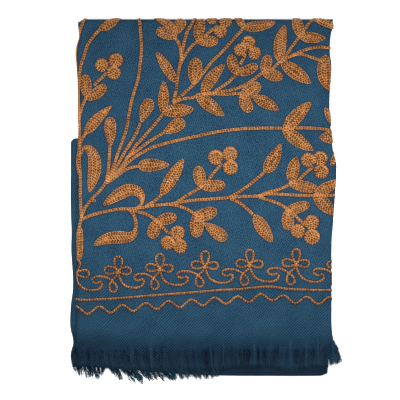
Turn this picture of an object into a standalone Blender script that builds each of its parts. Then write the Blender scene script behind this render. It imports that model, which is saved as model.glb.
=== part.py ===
"""Folded flamenco shawl: a square of wool twill with a frayed fringe, folded into a flat packet.

The packet lies on its back. X runs across it, Y from the fringed hem up to the top fold, Z up.
Sizes are in millimetres and are turned into metres where a mesh is made.
"""

import math
import random
from collections import namedtuple

import bmesh
import bpy

MM = 0.001

# Cloth
PLY = 1.1                  # one visible ply, with its nap
BACK_PLY = 1.2             # the ply on the table
GAP = 0.35                 # clearance between neighbouring pieces
REST_GAP = GAP + 0.1       # clearance of the fringe
FOLD_TURN = math.radians(150)
FOLD_LEAST = 1.4           # tightest outer radius of a fold

# Packet
TOP_FOLD_Y = 173.1         # the fold that closes the packet at the top
FLAP_START_Y = 59.5        # raw edge of the plain flap, hidden under the front
HEM_LEFT_Y = -144.7        # hem of the front ply at its left end
HEM_RIGHT_Y = -141.8       # and at its right end
PAST_FOLD = 0.4            # a lock bends this far past the bottom fold
LOWER_HEM_Y = -140.6       # hem of the ply under it, where the longer fringe starts
UPPER_STACK_END_Y = -136.5  # end of the hidden plies over the flap
LOWER_STACK_END_Y = -156.0  # and of those under it
UPPER_STACK_TOP_Y = TOP_FOLD_Y - 7.0
LOWER_STACK_TOP_Y = TOP_FOLD_Y - 5.0
JOINED_TOP_Y = TOP_FOLD_Y - 9.0
JOINED_END_Y = FLAP_START_Y + 2.0
LOWER_PLIES = 3            # folds that show at the edge of the hidden plies under the flap
LOWER_GROOVE = 0.9         # and how deep the creases between them are
UPPER_PLIES = 2
UPPER_GROOVE = 0.5
JOINED_BELOW = 4.0         # the plies that join the two stacks start this far below the flap's level
JOINED_BENEATH = 3.0       # and end this far beneath the front
JOINED_GROOVE = 0.2
STACK_INSET = 3.4          # from a fold's outside to the hidden plies in it
LOWER_TUCK = 1.0           # how far the lower plies stay inside the front above the flap
FLAP_FULL_Y = 38.0         # the flap has its full width below this
ABOVE_FLAP_Y = 63.0        # and there is none of it above this
BACK_INSET = 1.2           # from the folds above to the rim of the back ply
BACK_CORNER = 4.0

# Lattice of the panels
ACROSS = 14                # cells across a panel
FOLD_STEPS = 4             # cells round a fold
STATIONS = (166, 141, 114, 88, 60, 32, 4, -26, -54, -84, -108, -120, -128, -134, -140, -145)
FLAP_STATIONS = (59, 56, 48, 38, 30, 4, -28, -50, -74, -98, -116, -127, -134, -141, -149, -158, -167)

Side = namedtuple("Side", "y left right")
FRONT_SIDES = (
    Side(173, -119.5, 118.5),
    Side(168, -122.0, 121.2),
    Side(157, -119.8, 119.2),
    Side(143, -123.0, 118.3),
    Side(128, -122.2, 120.0),
    Side(113, -121.2, 118.8),
    Side(95, -121.0, 118.0),
    Side(74, -121.2, 118.6),
    Side(50, -121.6, 121.0),
    Side(34, -122.0, 122.6),
    Side(0, -122.0, 121.4),
    Side(-48, -121.6, 119.8),
    Side(-100, -122.2, 120.0),
    Side(-124, -122.6, 120.3),
    Side(-134, -124.0, 122.4),
    Side(-144, -126.8, 126.8),
)
FLAP_SIDES = (
    Side(60, -123.2, 118.1),
    Side(56, -128.6, 120.0),
    Side(47, -128.9, 121.9),
    Side(38, -128.9, 124.5),
    Side(30, -128.9, 125.1),
    Side(0, -129.1, 123.4),
    Side(-30, -128.3, 121.2),
    Side(-48, -128.5, 119.5),
    Side(-72, -127.0, 118.3),
    Side(-85, -127.0, 118.0),
    Side(-100, -128.9, 118.0),
    Side(-120, -129.4, 118.0),
    Side(-135, -126.6, 118.0),
    Side(-148, -129.4, 118.0),
    Side(-158, -127.2, 116.8),
    Side(-168, -124.2, 115.2),
)

# Bottom fold of the plain flap, which slants up at the left
Fold = namedtuple("Fold", "x y")
FLAP_ENDS = (
    Fold(-130, -158.5),
    Fold(-95, -160.0),
    Fold(-60, -163.0),
    Fold(-20, -166.0),
    Fold(20, -167.3),
    Fold(118, -167.5),
)

# Height of the upper face of the front ply and of the flap, along the packet
Rise = namedtuple("Rise", "y front flap")
RISES = (
    Rise(174, 12.0, 8.3),
    Rise(157, 12.4, 8.4),
    Rise(108, 12.8, 8.5),
    Rise(60, 13.2, 8.6),
    Rise(0, 13.5, 8.7),
    Rise(-70, 13.4, 8.6),
    Rise(-112, 13.1, 8.4),
    Rise(-124, 12.7, 8.0),
    Rise(-132, 11.0, 6.8),
    Rise(-139, 8.6, 5.0),
    Rise(-145, 6.55, 3.8),
    Rise(-154, 5.6, 3.6),
    Rise(-168, 4.9, 3.3),
)

# Soft undulation that the whole packet shares: height, wave vector across and along, phase
Wave = namedtuple("Wave", "height across along phase")
WAVES = (
    Wave(0.16, 0.055, 0.021, 0.4),
    Wave(0.13, -0.034, 0.048, 2.1),
    Wave(0.08, 0.082, -0.067, 1.2),
)

# Fringe
STRIP_DEEP = 1.4           # narrow strip that the roots are fused into
STRIP_THICK = 0.7
STRIP_RAISE = 0.45         # of the upper strip over the underside of its ply
UPPER_LOCKS = 108
LOWER_LOCKS = 66
LOCK_INSET = 0.12          # between a lock's root and its cell
LOCK_LEAST = 3.0
FRINGE_LEFT_X = -127.5
FRINGE_RIGHT_X = 126.6
LOWER_LEFT_X = -122.0      # the longer fringe starts inside the front's left fold
LOWER_RIGHT_X = 12.6       # and ends here
UPPER_LIFT = 2.0           # height of the upper locks over the flap where they lie on the lower ones
BARE_LIFT = 1.6            # and over the bare flap, at their roots
BARE_FALL = 1.1            # less this at their tips
UPPER_DROP = 0.2           # drop of a lock per length past the bottom fold
LOWER_DROP = 0.75
TIP_SPREAD = 1.5           # how unevenly the locks end
LEAN_SPREAD = 0.25
FLOOR_CLEAR = 0.5          # lowest point of a lock over the table
BEND_WIDTH = 0.85          # width of a lock where it bends, as a share of its root
TIP_WIDTH = 0.35           # and at its tip
FRINGE_BOTTOM_Y = -173.1   # the longest tip
FRINGE_SIDE_X = 129.1     # the tip that leans out furthest at the right

# Reach of the fringe: tip of the locks and their sideways lean, by place along the hem
Reach = namedtuple("Reach", "x tip lean")
UPPER_REACH = (
    Reach(-128, -157.0, -1.0),
    Reach(-100, -159.0, 1.5),
    Reach(-60, -162.0, 2.5),
    Reach(-10, -162.0, 2.5),
    Reach(13, -161.0, 1.0),
    Reach(40, -159.0, 0.5),
    Reach(70, -160.0, 0.8),
    Reach(80, -164.0, 1.0),
    Reach(90, -160.0, 0.5),
    Reach(110, -159.5, 0.8),
    Reach(120, -157.0, 1.5),
    Reach(127, -152.5, 3.2),
)
LOWER_REACH = (
    Reach(-124, -165.5, 0.5),
    Reach(-112, -169.0, 1.5),
    Reach(-101, -170.0, 1.5),
    Reach(-96, -160.5, 1.0),
    Reach(-89, -169.5, 4.0),
    Reach(-70, -172.8, 5.5),
    Reach(-45, -172.2, 6.0),
    Reach(-12, -169.5, 5.0),
    Reach(-3, -170.9, 4.0),
    Reach(13, -167.5, 3.0),
)

CLOTH_BLUE = (0.028, 0.085, 0.145, 1.0)
CLOTH_SHADE = (0.014, 0.040, 0.066, 1.0)
YARN_BLUE = (0.018, 0.052, 0.084, 1.0)


def smooth_value(table, column, at):
    """Value of a table's column at a place, on one smooth curve through its rows."""
    rows = sorted(table, key=lambda row: row[0])
    places = [row[0] for row in rows]
    values = [getattr(row, column) for row in rows]
    at = min(max(at, places[0]), places[-1])
    index = max(i for i in range(len(rows) - 1) if places[i] <= at)
    span = places[index + 1] - places[index]
    share = (at - places[index]) / span

    def slope(i):
        low = max(i - 1, 0)
        high = min(i + 1, len(rows) - 1)
        return (values[high] - values[low]) / (places[high] - places[low]) * span

    start, end = values[index], values[index + 1]
    cubic = (
        start * (2 * share**3 - 3 * share**2 + 1)
        + slope(index) * (share**3 - 2 * share**2 + share)
        + end * (3 * share**2 - 2 * share**3)
        + slope(index + 1) * (share**3 - share**2)
    )
    return cubic


def undulation(x, y):
    """Soft waves in the stack of plies."""
    return sum(wave.height * math.sin(wave.across * x + wave.along * y + wave.phase) for wave in WAVES)


def front_height(x, y):
    return smooth_value(RISES, "front", y) + undulation(x, y)


def flap_height(x, y):
    return smooth_value(RISES, "flap", y) + 0.6 * undulation(x, y)


def front_left(y):
    return smooth_value(FRONT_SIDES, "left", y)


def front_right(y):
    return smooth_value(FRONT_SIDES, "right", y)


def flap_left(y):
    return smooth_value(FLAP_SIDES, "left", y)


def flap_right(y):
    return smooth_value(FLAP_SIDES, "right", y)


def flap_end(x):
    return smooth_value(FLAP_ENDS, "y", x)


def hem_y(x):
    """The hem slants a little across the packet."""
    share = (x - FRINGE_LEFT_X) / (FRINGE_RIGHT_X - FRINGE_LEFT_X)
    return HEM_LEFT_Y + share * (HEM_RIGHT_Y - HEM_LEFT_Y)


def fold_round(drop):
    """Outer radius and turn of a fold that comes down by this drop."""
    radius = max(FOLD_LEAST, drop / (1 - math.cos(FOLD_TURN)))
    return radius, math.acos(1 - drop / radius)


def material_for(name, colour, roughness):
    material = bpy.data.materials.new(name)
    material.use_nodes = True
    shader = material.node_tree.nodes["Principled BSDF"]
    shader.inputs["Base Color"].default_value = colour
    shader.inputs["Roughness"].default_value = roughness
    shader.inputs["Metallic"].default_value = 0.0
    return material


def add_object(name, mesh_builder, collection, colour):
    """Names a finished bmesh, gives it its material and puts it in the collection."""
    mesh = bpy.data.meshes.new(name)
    mesh_builder.to_mesh(mesh)
    mesh_builder.free()
    mesh.shade_smooth()
    piece = bpy.data.objects.new(name, mesh)
    piece.data.materials.append(material_for(name + "_cloth", colour, 0.9))
    collection.objects.link(piece)
    return piece


def lattice_places(shares, folded_first, folded_last, first_side):
    """Lattice places as (share, turn, side): round one fold, over the flat, round the other."""
    places = []
    if folded_first:
        places += [(0.0, 1 - k / FOLD_STEPS, first_side) for k in range(FOLD_STEPS)]
    places += [(share, 0.0, 0) for share in shares]
    if folded_last:
        places += [(1.0, (k + 1) / FOLD_STEPS, -first_side) for k in range(FOLD_STEPS)]
    return places


def station_shares(stations):
    """Rows of a lattice as shares of its length, closer together where the stations are."""
    span = stations[-1] - stations[0]
    return [(station - stations[0]) / span for station in stations]


def folded_sheet(name, sides, ends, stations, height, beneath, folds, collection, colour):
    """One ply over a stack: flat on top, rounded down at its folded edges, a wall all over.

    sides are the left and right outline by y, ends the first and last y by x,
    height the upper face, beneath what each fold comes down to, folds the folded ends.
    """
    left, right = sides
    first, last = ends
    builder = bmesh.new()
    columns = lattice_places([k / ACROSS for k in range(ACROSS + 1)], True, True, -1)
    rows = lattice_places(station_shares(stations), folds[0], folds[1], 1)

    def end_fold(x, y, end):
        return fold_round(height(x, y) - beneath(x, y, end) - GAP)

    grid = []
    for down, down_turn, end in rows:
        line = []
        for across, across_turn, side in columns:
            rough_x = left(0) + across * (right(0) - left(0))
            top_y = first(rough_x)
            bottom_y = last(rough_x)
            if folds[0]:
                top_y -= end_fold(rough_x, top_y, 1)[0]
            if folds[1]:
                bottom_y += end_fold(rough_x, bottom_y, -1)[0]
            y = top_y + down * (bottom_y - top_y)
            side_drop = height(rough_x, y) - beneath(rough_x, y, 0) - GAP
            side_radius, side_turn = fold_round(side_drop)
            low_x = left(y) + side_radius
            high_x = right(y) - side_radius
            x = low_x + across * (high_x - low_x)
            z = height(x, y)
            turned = max(across_turn, down_turn)
            if turned > 0:
                corner = down_turn / (across_turn + down_turn)
                end_radius, end_turn = end_fold(x, y, end) if end else (0.0, 0.0)
                x += side * side_radius * math.sin(side_turn * turned) * math.cos(corner * math.pi / 2)
                y += end * end_radius * math.sin(end_turn * turned) * math.sin(corner * math.pi / 2)
                z -= (1 - corner) * side_radius * (1 - math.cos(side_turn * turned))
                z -= corner * end_radius * (1 - math.cos(end_turn * turned))
            line.append(builder.verts.new((x * MM, y * MM, z * MM)))
        grid.append(line)
    for above, below in zip(grid, grid[1:]):
        for k in range(len(columns) - 1):
            builder.faces.new((above[k], below[k], below[k + 1], above[k + 1]))
    sheet = add_object(name, builder, collection, colour)
    wall = sheet.modifiers.new("ply", "SOLIDIFY")
    wall.thickness = PLY * MM
    wall.offset = -1.0
    wall.use_even_offset = True
    return sheet


def ply_stack(name, sides, ends, stations, low, high, plies, groove, collection):
    """Closed stack of plies with rounded, layered edges between two surfaces."""
    left, right = sides
    builder = bmesh.new()
    shares = station_shares(stations)

    def place(across, down, inset, level):
        y = ends[0] - inset + down * (ends[1] + inset - (ends[0] - inset))
        low_x = left(y) + inset
        high_x = right(y) - inset
        x = low_x + across * (high_x - low_x)
        z = low(x, y) + level * (high(x, y) - low(x, y))
        return builder.verts.new((x * MM, y * MM, z * MM))

    def surface(level):
        return [[place(k / ACROSS, share, groove, level) for k in range(ACROSS + 1)] for share in shares]

    def rim(cells):
        """The places round the lattice, once round."""
        rows = len(cells) - 1
        ring = [cells[0][k] for k in range(ACROSS)]
        ring += [cells[k][ACROSS] for k in range(rows)]
        ring += [cells[rows][k] for k in range(ACROSS, 0, -1)]
        ring += [cells[k][0] for k in range(rows, 0, -1)]
        return ring

    underside = surface(0.0)
    upside = surface(1.0)
    places = [[(k / ACROSS, share) for k in range(ACROSS + 1)] for share in shares]
    rings = [rim(underside)]
    for step in range(1, 2 * plies):
        inset = 0.0 if step % 2 else groove
        rings.append([place(across, down, inset, step / (2 * plies)) for across, down in rim(places)])
    rings.append(rim(upside))
    for below, above in zip(rings, rings[1:]):
        for k in range(len(below)):
            after = (k + 1) % len(below)
            builder.faces.new((below[k], above[k], above[after], below[after]))
    for row in range(len(shares) - 1):
        for k in range(ACROSS):
            a, b = upside[row], upside[row + 1]
            builder.faces.new((a[k], b[k], b[k + 1], a[k + 1]))
            a, b = underside[row], underside[row + 1]
            builder.faces.new((a[k], a[k + 1], b[k + 1], b[k]))
    bmesh.ops.recalc_face_normals(builder, faces=builder.faces)
    return add_object(name, builder, collection, CLOTH_SHADE)


def fringe(name, count, ends, root, reach, lift, fall, bend, far_tip, seed, collection):
    """A narrow strip with a lock drawn out of each of its cells, towards the hem's outside.

    root gives the strip's y and z at its outer face by x, lift how high a lock lies over the flap,
    fall how steeply it drops past the flap, bend the y where it bends, by its place and the y
    of its tip, far_tip the x of the last lock's tip and the y of the longest, each if it is set.
    """
    pick = random.Random(seed)
    builder = bmesh.new()
    sections = []
    for k in range(count + 1):
        x = ends[0] + (ends[1] - ends[0]) * k / count
        y, z = root(x)
        corners = (
            (x, y, z),
            (x, y, z + STRIP_THICK),
            (x, y + STRIP_DEEP, z + STRIP_THICK),
            (x, y + STRIP_DEEP, z),
        )
        sections.append([builder.verts.new([part * MM for part in corner]) for corner in corners])
    outer = []
    for one, other in zip(sections, sections[1:]):
        for k in range(4):
            after = (k + 1) % 4
            face = builder.faces.new((one[k], other[k], other[after], one[after]))
            if k == 0:
                outer.append(face)
    builder.faces.new(sections[0])
    builder.faces.new(sections[-1][::-1])
    bmesh.ops.recalc_face_normals(builder, faces=builder.faces)
    bmesh.ops.inset_individual(builder, faces=outer, thickness=LOCK_INSET * MM, depth=0.0)
    for k, face in enumerate(outer):
        centre = face.calc_center_median() / MM
        tip_y = smooth_value(reach, "tip", centre.x) + pick.uniform(-TIP_SPREAD, TIP_SPREAD)
        lean = smooth_value(reach, "lean", centre.x) + pick.uniform(-LEAN_SPREAD, LEAN_SPREAD)
        tip_y = min(max(tip_y, FRINGE_BOTTOM_Y), centre.y - LOCK_LEAST)
        if k == count // 3 and far_tip[1]:
            tip_y = far_tip[1]
        if k == count - 1 and far_tip[0]:
            lean = far_tip[0] - centre.x
        shape = [vert.co / MM - centre for vert in face.verts]
        for y, width in ((bend(centre, tip_y), BEND_WIDTH), (tip_y, TIP_WIDTH)):
            drawn = bmesh.ops.extrude_discrete_faces(builder, faces=[face])
            face = drawn["faces"][0]
            share = (y - centre.y) / (tip_y - centre.y)
            x = centre.x + share * share * lean
            z = max(resting_level(x, y, fall) + lift(x, share), FLOOR_CLEAR) + STRIP_THICK / 2
            for vert, offset in zip(face.verts, shape):
                vert.co = ((x + offset.x * width) * MM, (y + offset.y) * MM, (z + offset.z * width) * MM)
    bmesh.ops.recalc_face_normals(builder, faces=builder.faces)
    return add_object(name, builder, collection, YARN_BLUE)


def resting_level(x, y, fall):
    """What a lock lies on: the flap, and past its bottom fold a line that falls towards the table."""
    fold_y = flap_end(x) + FOLD_LEAST
    past = max(0.0, flap_end(x) - PAST_FOLD - y)
    return flap_height(x, max(y, fold_y)) - fall * past


def back_outline():
    """Corners of the back ply, inside the folds above it: left side down, right side up."""
    left_side = [(front_left(y) + BACK_INSET, y) for y in (166, 143, 113, 74, 61)]
    left_side += [(flap_left(y) + BACK_INSET, y) for y in (54, 0, -48, -78, -104, -120, -135, -148)]
    right_side = [(flap_right(y) - BACK_INSET, y) for y in (-150, -100, -62, -30, 0, 34)]
    right_side += [(front_right(y) - BACK_INSET, y) for y in (61, 95, 128, 166)]
    top_y = TOP_FOLD_Y - BACK_INSET
    in_corner = BACK_INSET + BACK_CORNER
    low_left = flap_left(-158) + BACK_CORNER
    low_right = flap_right(-166) - BACK_CORNER
    bottom = [(x, flap_end(x) + BACK_INSET) for x in (low_left, -95, -60, -20, 20, low_right)]
    top = [(front_right(top_y) - in_corner, top_y), (front_left(top_y) + in_corner, top_y)]
    return left_side + bottom + right_side + top


def back_sheet(collection):
    """The ply on the table: a flat outline drawn up by its thickness, its rim eased."""
    builder = bmesh.new()
    rim = [builder.verts.new((x * MM, y * MM, 0.0)) for x, y in back_outline()]
    face = builder.faces.new(rim)
    drawn = bmesh.ops.extrude_face_region(builder, geom=[face])
    raised = [item for item in drawn["geom"] if isinstance(item, bmesh.types.BMVert)]
    bmesh.ops.translate(builder, vec=(0, 0, BACK_PLY * MM), verts=raised)
    bmesh.ops.recalc_face_normals(builder, faces=builder.faces)
    sheet = add_object("back_panel", builder, collection, CLOTH_BLUE)
    rim_ease = sheet.modifiers.new("eased rim", "BEVEL")
    rim_ease.width = 0.35 * MM
    rim_ease.segments = 1
    rim_ease.limit_method = "ANGLE"
    rim_ease.angle_limit = math.radians(60)
    return sheet


def union(target, other, guides):
    """Joins another closed piece to the target and keeps it as a hidden guide."""
    join = target.modifiers.new("join " + other.name, "BOOLEAN")
    join.operation = "UNION"
    join.solver = "EXACT"
    join.object = other
    for holder in list(other.users_collection):
        holder.objects.unlink(other)
    guides.objects.link(other)
    other.hide_render = True
    other.display_type = "WIRE"


def inner_stack(shawl, guides):
    """Hidden plies: a stack under the flap, one over it, and the plies that join them above it."""
    def lower_left(y):
        tucked = front_left(y) + LOWER_TUCK
        if y < FLAP_FULL_Y:
            return flap_left(y) + STACK_INSET
        if y < ABOVE_FLAP_Y:
            return max(tucked, flap_left(y)) + STACK_INSET
        return tucked + STACK_INSET

    def lower_right(y):
        tucked = front_right(y) - LOWER_TUCK
        if y < ABOVE_FLAP_Y:
            return min(tucked, flap_right(y)) - STACK_INSET
        return tucked - STACK_INSET

    def table(_x, _y):
        return BACK_PLY + GAP

    def under_flap_ply(x, y):
        return flap_height(x, y) - PLY - GAP

    def over_flap(x, y):
        return flap_height(x, y) + GAP

    def under_front(x, y):
        return front_height(x, y) - PLY - GAP

    lower_rows = (168, 143, 116, 90, 68, 60, 48, 34, 6, -24, -54, -84)
    lower_rows += (-108, -120, -128, -134, -140, -147, -156)
    upper_rows = (166, 141, 114, 88, 60, 32, 4, -26, -54, -84, -108, -120, -128, -132, -136)
    lower = ply_stack(
        "inner_layers",
        (lower_left, lower_right),
        (LOWER_STACK_TOP_Y, LOWER_STACK_END_Y),
        lower_rows,
        table,
        under_flap_ply,
        LOWER_PLIES,
        LOWER_GROOVE,
        shawl,
    )
    upper = ply_stack(
        "upper_plies",
        (lambda y: front_left(y) + STACK_INSET, lambda y: front_right(y) - STACK_INSET),
        (UPPER_STACK_TOP_Y, UPPER_STACK_END_Y),
        upper_rows,
        over_flap,
        under_front,
        UPPER_PLIES,
        UPPER_GROOVE,
        shawl,
    )
    joint = ply_stack(
        "joining_plies",
        (lambda y: front_left(y) + 2 * STACK_INSET, lambda y: front_right(y) - 2 * STACK_INSET),
        (JOINED_TOP_Y, JOINED_END_Y),
        (164, 138, 112, 88, 61),
        lambda x, y: flap_height(x, y) - JOINED_BELOW,
        lambda x, y: front_height(x, y) - JOINED_BENEATH,
        1,
        JOINED_GROOVE,
        shawl,
    )
    union(lower, upper, guides)
    union(lower, joint, guides)
    return lower


def build_shawl():
    for old in list(bpy.data.objects):
        bpy.data.objects.remove(old, do_unlink=True)
    shawl = bpy.data.collections.new("folded_shawl")
    guides = bpy.data.collections.new("guides")
    bpy.context.scene.collection.children.link(shawl)
    bpy.context.scene.collection.children.link(guides)

    back_sheet(shawl)
    inner_stack(shawl, guides)
    folded_sheet(
        "under_flap",
        (flap_left, flap_right),
        (lambda x: FLAP_START_Y, flap_end),
        FLAP_STATIONS,
        flap_height,
        lambda x, y, end: BACK_PLY,
        (False, True),
        shawl,
        CLOTH_SHADE,
    )
    folded_sheet(
        "front_panel",
        (front_left, front_right),
        (lambda x: TOP_FOLD_Y, hem_y),
        STATIONS,
        front_height,
        lambda x, y, end: BACK_PLY if end == 1 else flap_height(x, y),
        (True, False),
        shawl,
        CLOTH_BLUE,
    )

    def upper_root(x):
        y = hem_y(x) - REST_GAP - STRIP_DEEP
        return y, front_height(x, y) - PLY + STRIP_RAISE

    def lower_root(x):
        y = LOWER_HEM_Y - STRIP_DEEP
        return y, flap_height(x, y + 0.5 * STRIP_DEEP) + REST_GAP

    def lower_bend(root, tip_y):
        past_fold = flap_end(root.x) - PAST_FOLD
        return past_fold if tip_y < past_fold - PAST_FOLD else 0.5 * (root.y + tip_y)

    def upper_lift(x, share):
        over_lower_locks = x < LOWER_RIGHT_X + BACK_CORNER
        return UPPER_LIFT if over_lower_locks else BARE_LIFT - BARE_FALL * share

    fringe(
        "fringe_upper",
        UPPER_LOCKS,
        (FRINGE_LEFT_X, FRINGE_RIGHT_X),
        upper_root,
        UPPER_REACH,
        upper_lift,
        UPPER_DROP,
        lambda root, tip_y: 0.5 * (root.y + tip_y),
        (FRINGE_SIDE_X, None),
        7,
        shawl,
    )
    fringe(
        "fringe_lower",
        LOWER_LOCKS,
        (LOWER_LEFT_X, LOWER_RIGHT_X),
        lower_root,
        LOWER_REACH,
        lambda x, share: REST_GAP,
        LOWER_DROP,
        lower_bend,
        (None, FRINGE_BOTTOM_Y),
        11,
        shawl,
    )


build_shawl()
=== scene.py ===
# %% [markdown]
# # A folded, embroidered wool shawl
# A square of petrol-blue wool twill, covered with copper chain stitch and frayed along its edge into a
# fringe, lies folded into a flat packet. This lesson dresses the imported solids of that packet: each ply
# of cloth becomes a fine shell in the same place, and on it go the stitches and the single yarns.
# Blender works in metres. The tables below are in millimetres, as a maker would measure, and are turned
# into metres at the moment a mesh is made.

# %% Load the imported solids
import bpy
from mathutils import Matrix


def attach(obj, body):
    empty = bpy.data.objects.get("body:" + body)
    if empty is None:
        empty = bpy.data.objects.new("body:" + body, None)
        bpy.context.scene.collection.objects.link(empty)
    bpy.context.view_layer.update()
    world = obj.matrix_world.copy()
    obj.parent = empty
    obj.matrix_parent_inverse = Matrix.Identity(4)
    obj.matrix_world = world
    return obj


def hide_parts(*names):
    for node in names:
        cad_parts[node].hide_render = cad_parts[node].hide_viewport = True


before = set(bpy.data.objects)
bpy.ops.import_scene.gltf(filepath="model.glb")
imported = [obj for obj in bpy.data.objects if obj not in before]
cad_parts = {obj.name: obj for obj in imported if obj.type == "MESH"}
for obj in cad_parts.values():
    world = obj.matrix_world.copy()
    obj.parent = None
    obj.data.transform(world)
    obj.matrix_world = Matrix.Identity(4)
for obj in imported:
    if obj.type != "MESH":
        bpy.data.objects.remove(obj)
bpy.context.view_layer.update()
print("solids:", sorted(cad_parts))

# %% Modules and units
import math
from collections import namedtuple

import bpy
import numpy as np
from mathutils import Matrix, Vector
from mathutils.kdtree import KDTree

MM = 0.001
BODY = "root"

# %% [markdown]
# ## The packet's outline
# The solids follow short tables: how far the front ply and the plain flap under it reach to the left
# and right, where the bottom fold lies, and how high each ply is. The same tables are used here, so
# that a shell lies exactly where its solid does. One helper reads a smooth curve through a table's
# rows, for a whole array of places at once.

# %% A smooth curve through a table
def smooth(table, column, at):
    """Values of a table's column on one smooth curve through its rows."""
    rows = sorted(table)
    places = np.array([row[0] for row in rows], float)
    values = np.array([getattr(row, column) for row in rows], float)
    order = np.arange(len(rows))
    before = np.maximum(order - 1, 0)
    after = np.minimum(order + 1, len(rows) - 1)
    slopes = (values[after] - values[before]) / (places[after] - places[before])
    at = np.clip(np.asarray(at, float), places[0], places[-1])
    low = np.clip(np.searchsorted(places, at, side="right") - 1, 0, len(rows) - 2)
    span = places[low + 1] - places[low]
    share = (at - places[low]) / span
    return (
        values[low] * (2 * share**3 - 3 * share**2 + 1)
        + slopes[low] * span * (share**3 - 2 * share**2 + share)
        + values[low + 1] * (3 * share**2 - 2 * share**3)
        + slopes[low + 1] * span * (share**3 - share**2)
    )


# %% Sides of the front ply and of the flap
GAP = 0.35
BACK_PLY = 1.2
TOP_FOLD_Y = 173.1
FLAP_START_Y = 59.5

Side = namedtuple("Side", "y left right")
FRONT_SIDES = (
    Side(173, -119.5, 118.5),
    Side(168, -122.0, 121.2),
    Side(157, -119.8, 119.2),
    Side(143, -123.0, 118.3),
    Side(128, -122.2, 120.0),
    Side(113, -121.2, 118.8),
    Side(95, -121.0, 118.0),
    Side(74, -121.2, 118.6),
    Side(50, -121.6, 121.0),
    Side(34, -122.0, 122.6),
    Side(0, -122.0, 121.4),
    Side(-48, -121.6, 119.8),
    Side(-100, -122.2, 120.0),
    Side(-124, -122.6, 120.3),
    Side(-134, -124.0, 122.4),
    Side(-144, -126.8, 126.8),
)
FLAP_SIDES = (
    Side(60, -125.4, 118.1),
    Side(57.5, -128.4, 119.6),
    Side(47, -128.9, 121.9),
    Side(38, -128.9, 124.5),
    Side(30, -128.9, 125.1),
    Side(0, -129.1, 123.4),
    Side(-30, -128.3, 121.2),
    Side(-48, -128.5, 119.5),
    Side(-72, -127.0, 118.3),
    Side(-85, -127.0, 118.0),
    Side(-100, -128.9, 118.0),
    Side(-120, -129.4, 118.0),
    Side(-135, -126.6, 118.0),
    Side(-148, -129.4, 118.0),
    Side(-158, -127.2, 117.2),
    Side(-168, -124.2, 116.6),
)
Edge = namedtuple("Edge", "x y")
FLAP_ENDS = (
    Edge(-130, -158.5),
    Edge(-95, -160.0),
    Edge(-60, -163.0),
    Edge(-20, -166.0),
    Edge(20, -167.3),
    Edge(60, -167.5),
    Edge(106, -167.5),
    Edge(113, -166.9),
    Edge(118, -164.2),
)
HEM = (Edge(-127.5, -144.7), Edge(126.6, -141.8))

# %% Heights of the plies
Rise = namedtuple("Rise", "y front flap")
RISES = (
    Rise(174, 12.0, 8.3),
    Rise(157, 12.4, 8.4),
    Rise(108, 12.8, 8.5),
    Rise(60, 13.2, 8.6),
    Rise(0, 13.5, 8.7),
    Rise(-70, 13.4, 8.6),
    Rise(-112, 13.1, 8.4),
    Rise(-124, 12.7, 8.0),
    Rise(-132, 11.0, 6.8),
    Rise(-139, 8.6, 5.0),
    Rise(-145, 6.55, 3.8),
    Rise(-154, 5.6, 3.6),
    Rise(-168, 4.9, 3.3),
)
Wave = namedtuple("Wave", "height across along phase")
WAVES = (
    Wave(0.16, 0.055, 0.021, 0.4),
    Wave(0.13, -0.034, 0.048, 2.1),
    Wave(0.08, 0.082, -0.067, 1.2),
)
FLAP_WAVES = 0.6


def undulation(x, y):
    """Soft waves that the whole packet shares."""
    return sum(wave.height * np.sin(wave.across * x + wave.along * y + wave.phase) for wave in WAVES)


def front_height(x, y):
    return smooth(RISES, "front", y) + undulation(x, y)


def flap_height(x, y):
    return smooth(RISES, "flap", y) + FLAP_WAVES * undulation(x, y)


def table_height(x, y):
    return np.full(np.shape(x), BACK_PLY)


def hem_y(x):
    share = (x - HEM[0].x) / (HEM[1].x - HEM[0].x)
    return HEM[0].y + share * (HEM[1].y - HEM[0].y)


# %% [markdown]
# ## Laying a flat pattern on a folded ply
# A ply is easiest to draw while it is flat. `lay` then bends it: places past a side are wrapped round
# that side's fold, and places past the closed end round the end fold. Cloth and stitches both use it,
# so the embroidery follows the cloth over each edge.

# %% Fold a flattened ply
Ply = namedtuple("Ply", "sides open_end folded_end towards height side_level")
CORNER_X = -120.0
CORNER_CUT = 2.6
CORNER_WIDE = 4.5
CORNER_BEND = 2.5


def top_fold(x):
    """The top fold, which comes down a little at the left corner."""
    share = np.clip((x - CORNER_X - CORNER_WIDE) / -CORNER_WIDE, 0, 1)
    return TOP_FOLD_Y - CORNER_CUT * share**CORNER_BEND


FRONT = Ply(FRONT_SIDES, hem_y, top_fold, 1, front_height, flap_height)
FLAP = Ply(
    FLAP_SIDES,
    lambda x: np.full(np.shape(x), FLAP_START_Y),
    lambda x: smooth(FLAP_ENDS, "y", x),
    -1,
    flap_height,
    table_height,
)
FOLD_TURN = math.radians(150)
FOLD_LEAST = 1.4
CORNER_POWER = 4
END_SPAN = (-120, 118)
RIM_ROOM = 0.5


def fold_round(drop):
    """Outer radius and turn of a fold that comes down by this drop."""
    radius = np.maximum(FOLD_LEAST, drop / (1 - math.cos(FOLD_TURN)))
    return radius, np.arccos(1 - drop / radius)


def side_folds(ply, y):
    """For each side: the x where its fold starts, its radius and its turn."""
    folds = []
    for column, inward in (("left", 1), ("right", -1)):
        edge = smooth(ply.sides, column, y)
        middle = np.full(np.shape(y), float(smooth(ply.sides, column, 0)))
        radius, turn = fold_round(ply.height(middle, y) - ply.side_level(middle, y) - GAP)
        folds.append((edge + inward * radius, radius, turn))
    return folds


def end_fold(ply, x):
    """The y where the fold at the closed end starts, its radius and its turn."""
    edge = ply.folded_end(x)
    radius, turn = fold_round(ply.height(x, edge) - table_height(x, edge) - GAP)
    return edge - ply.towards * radius, radius, turn


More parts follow.
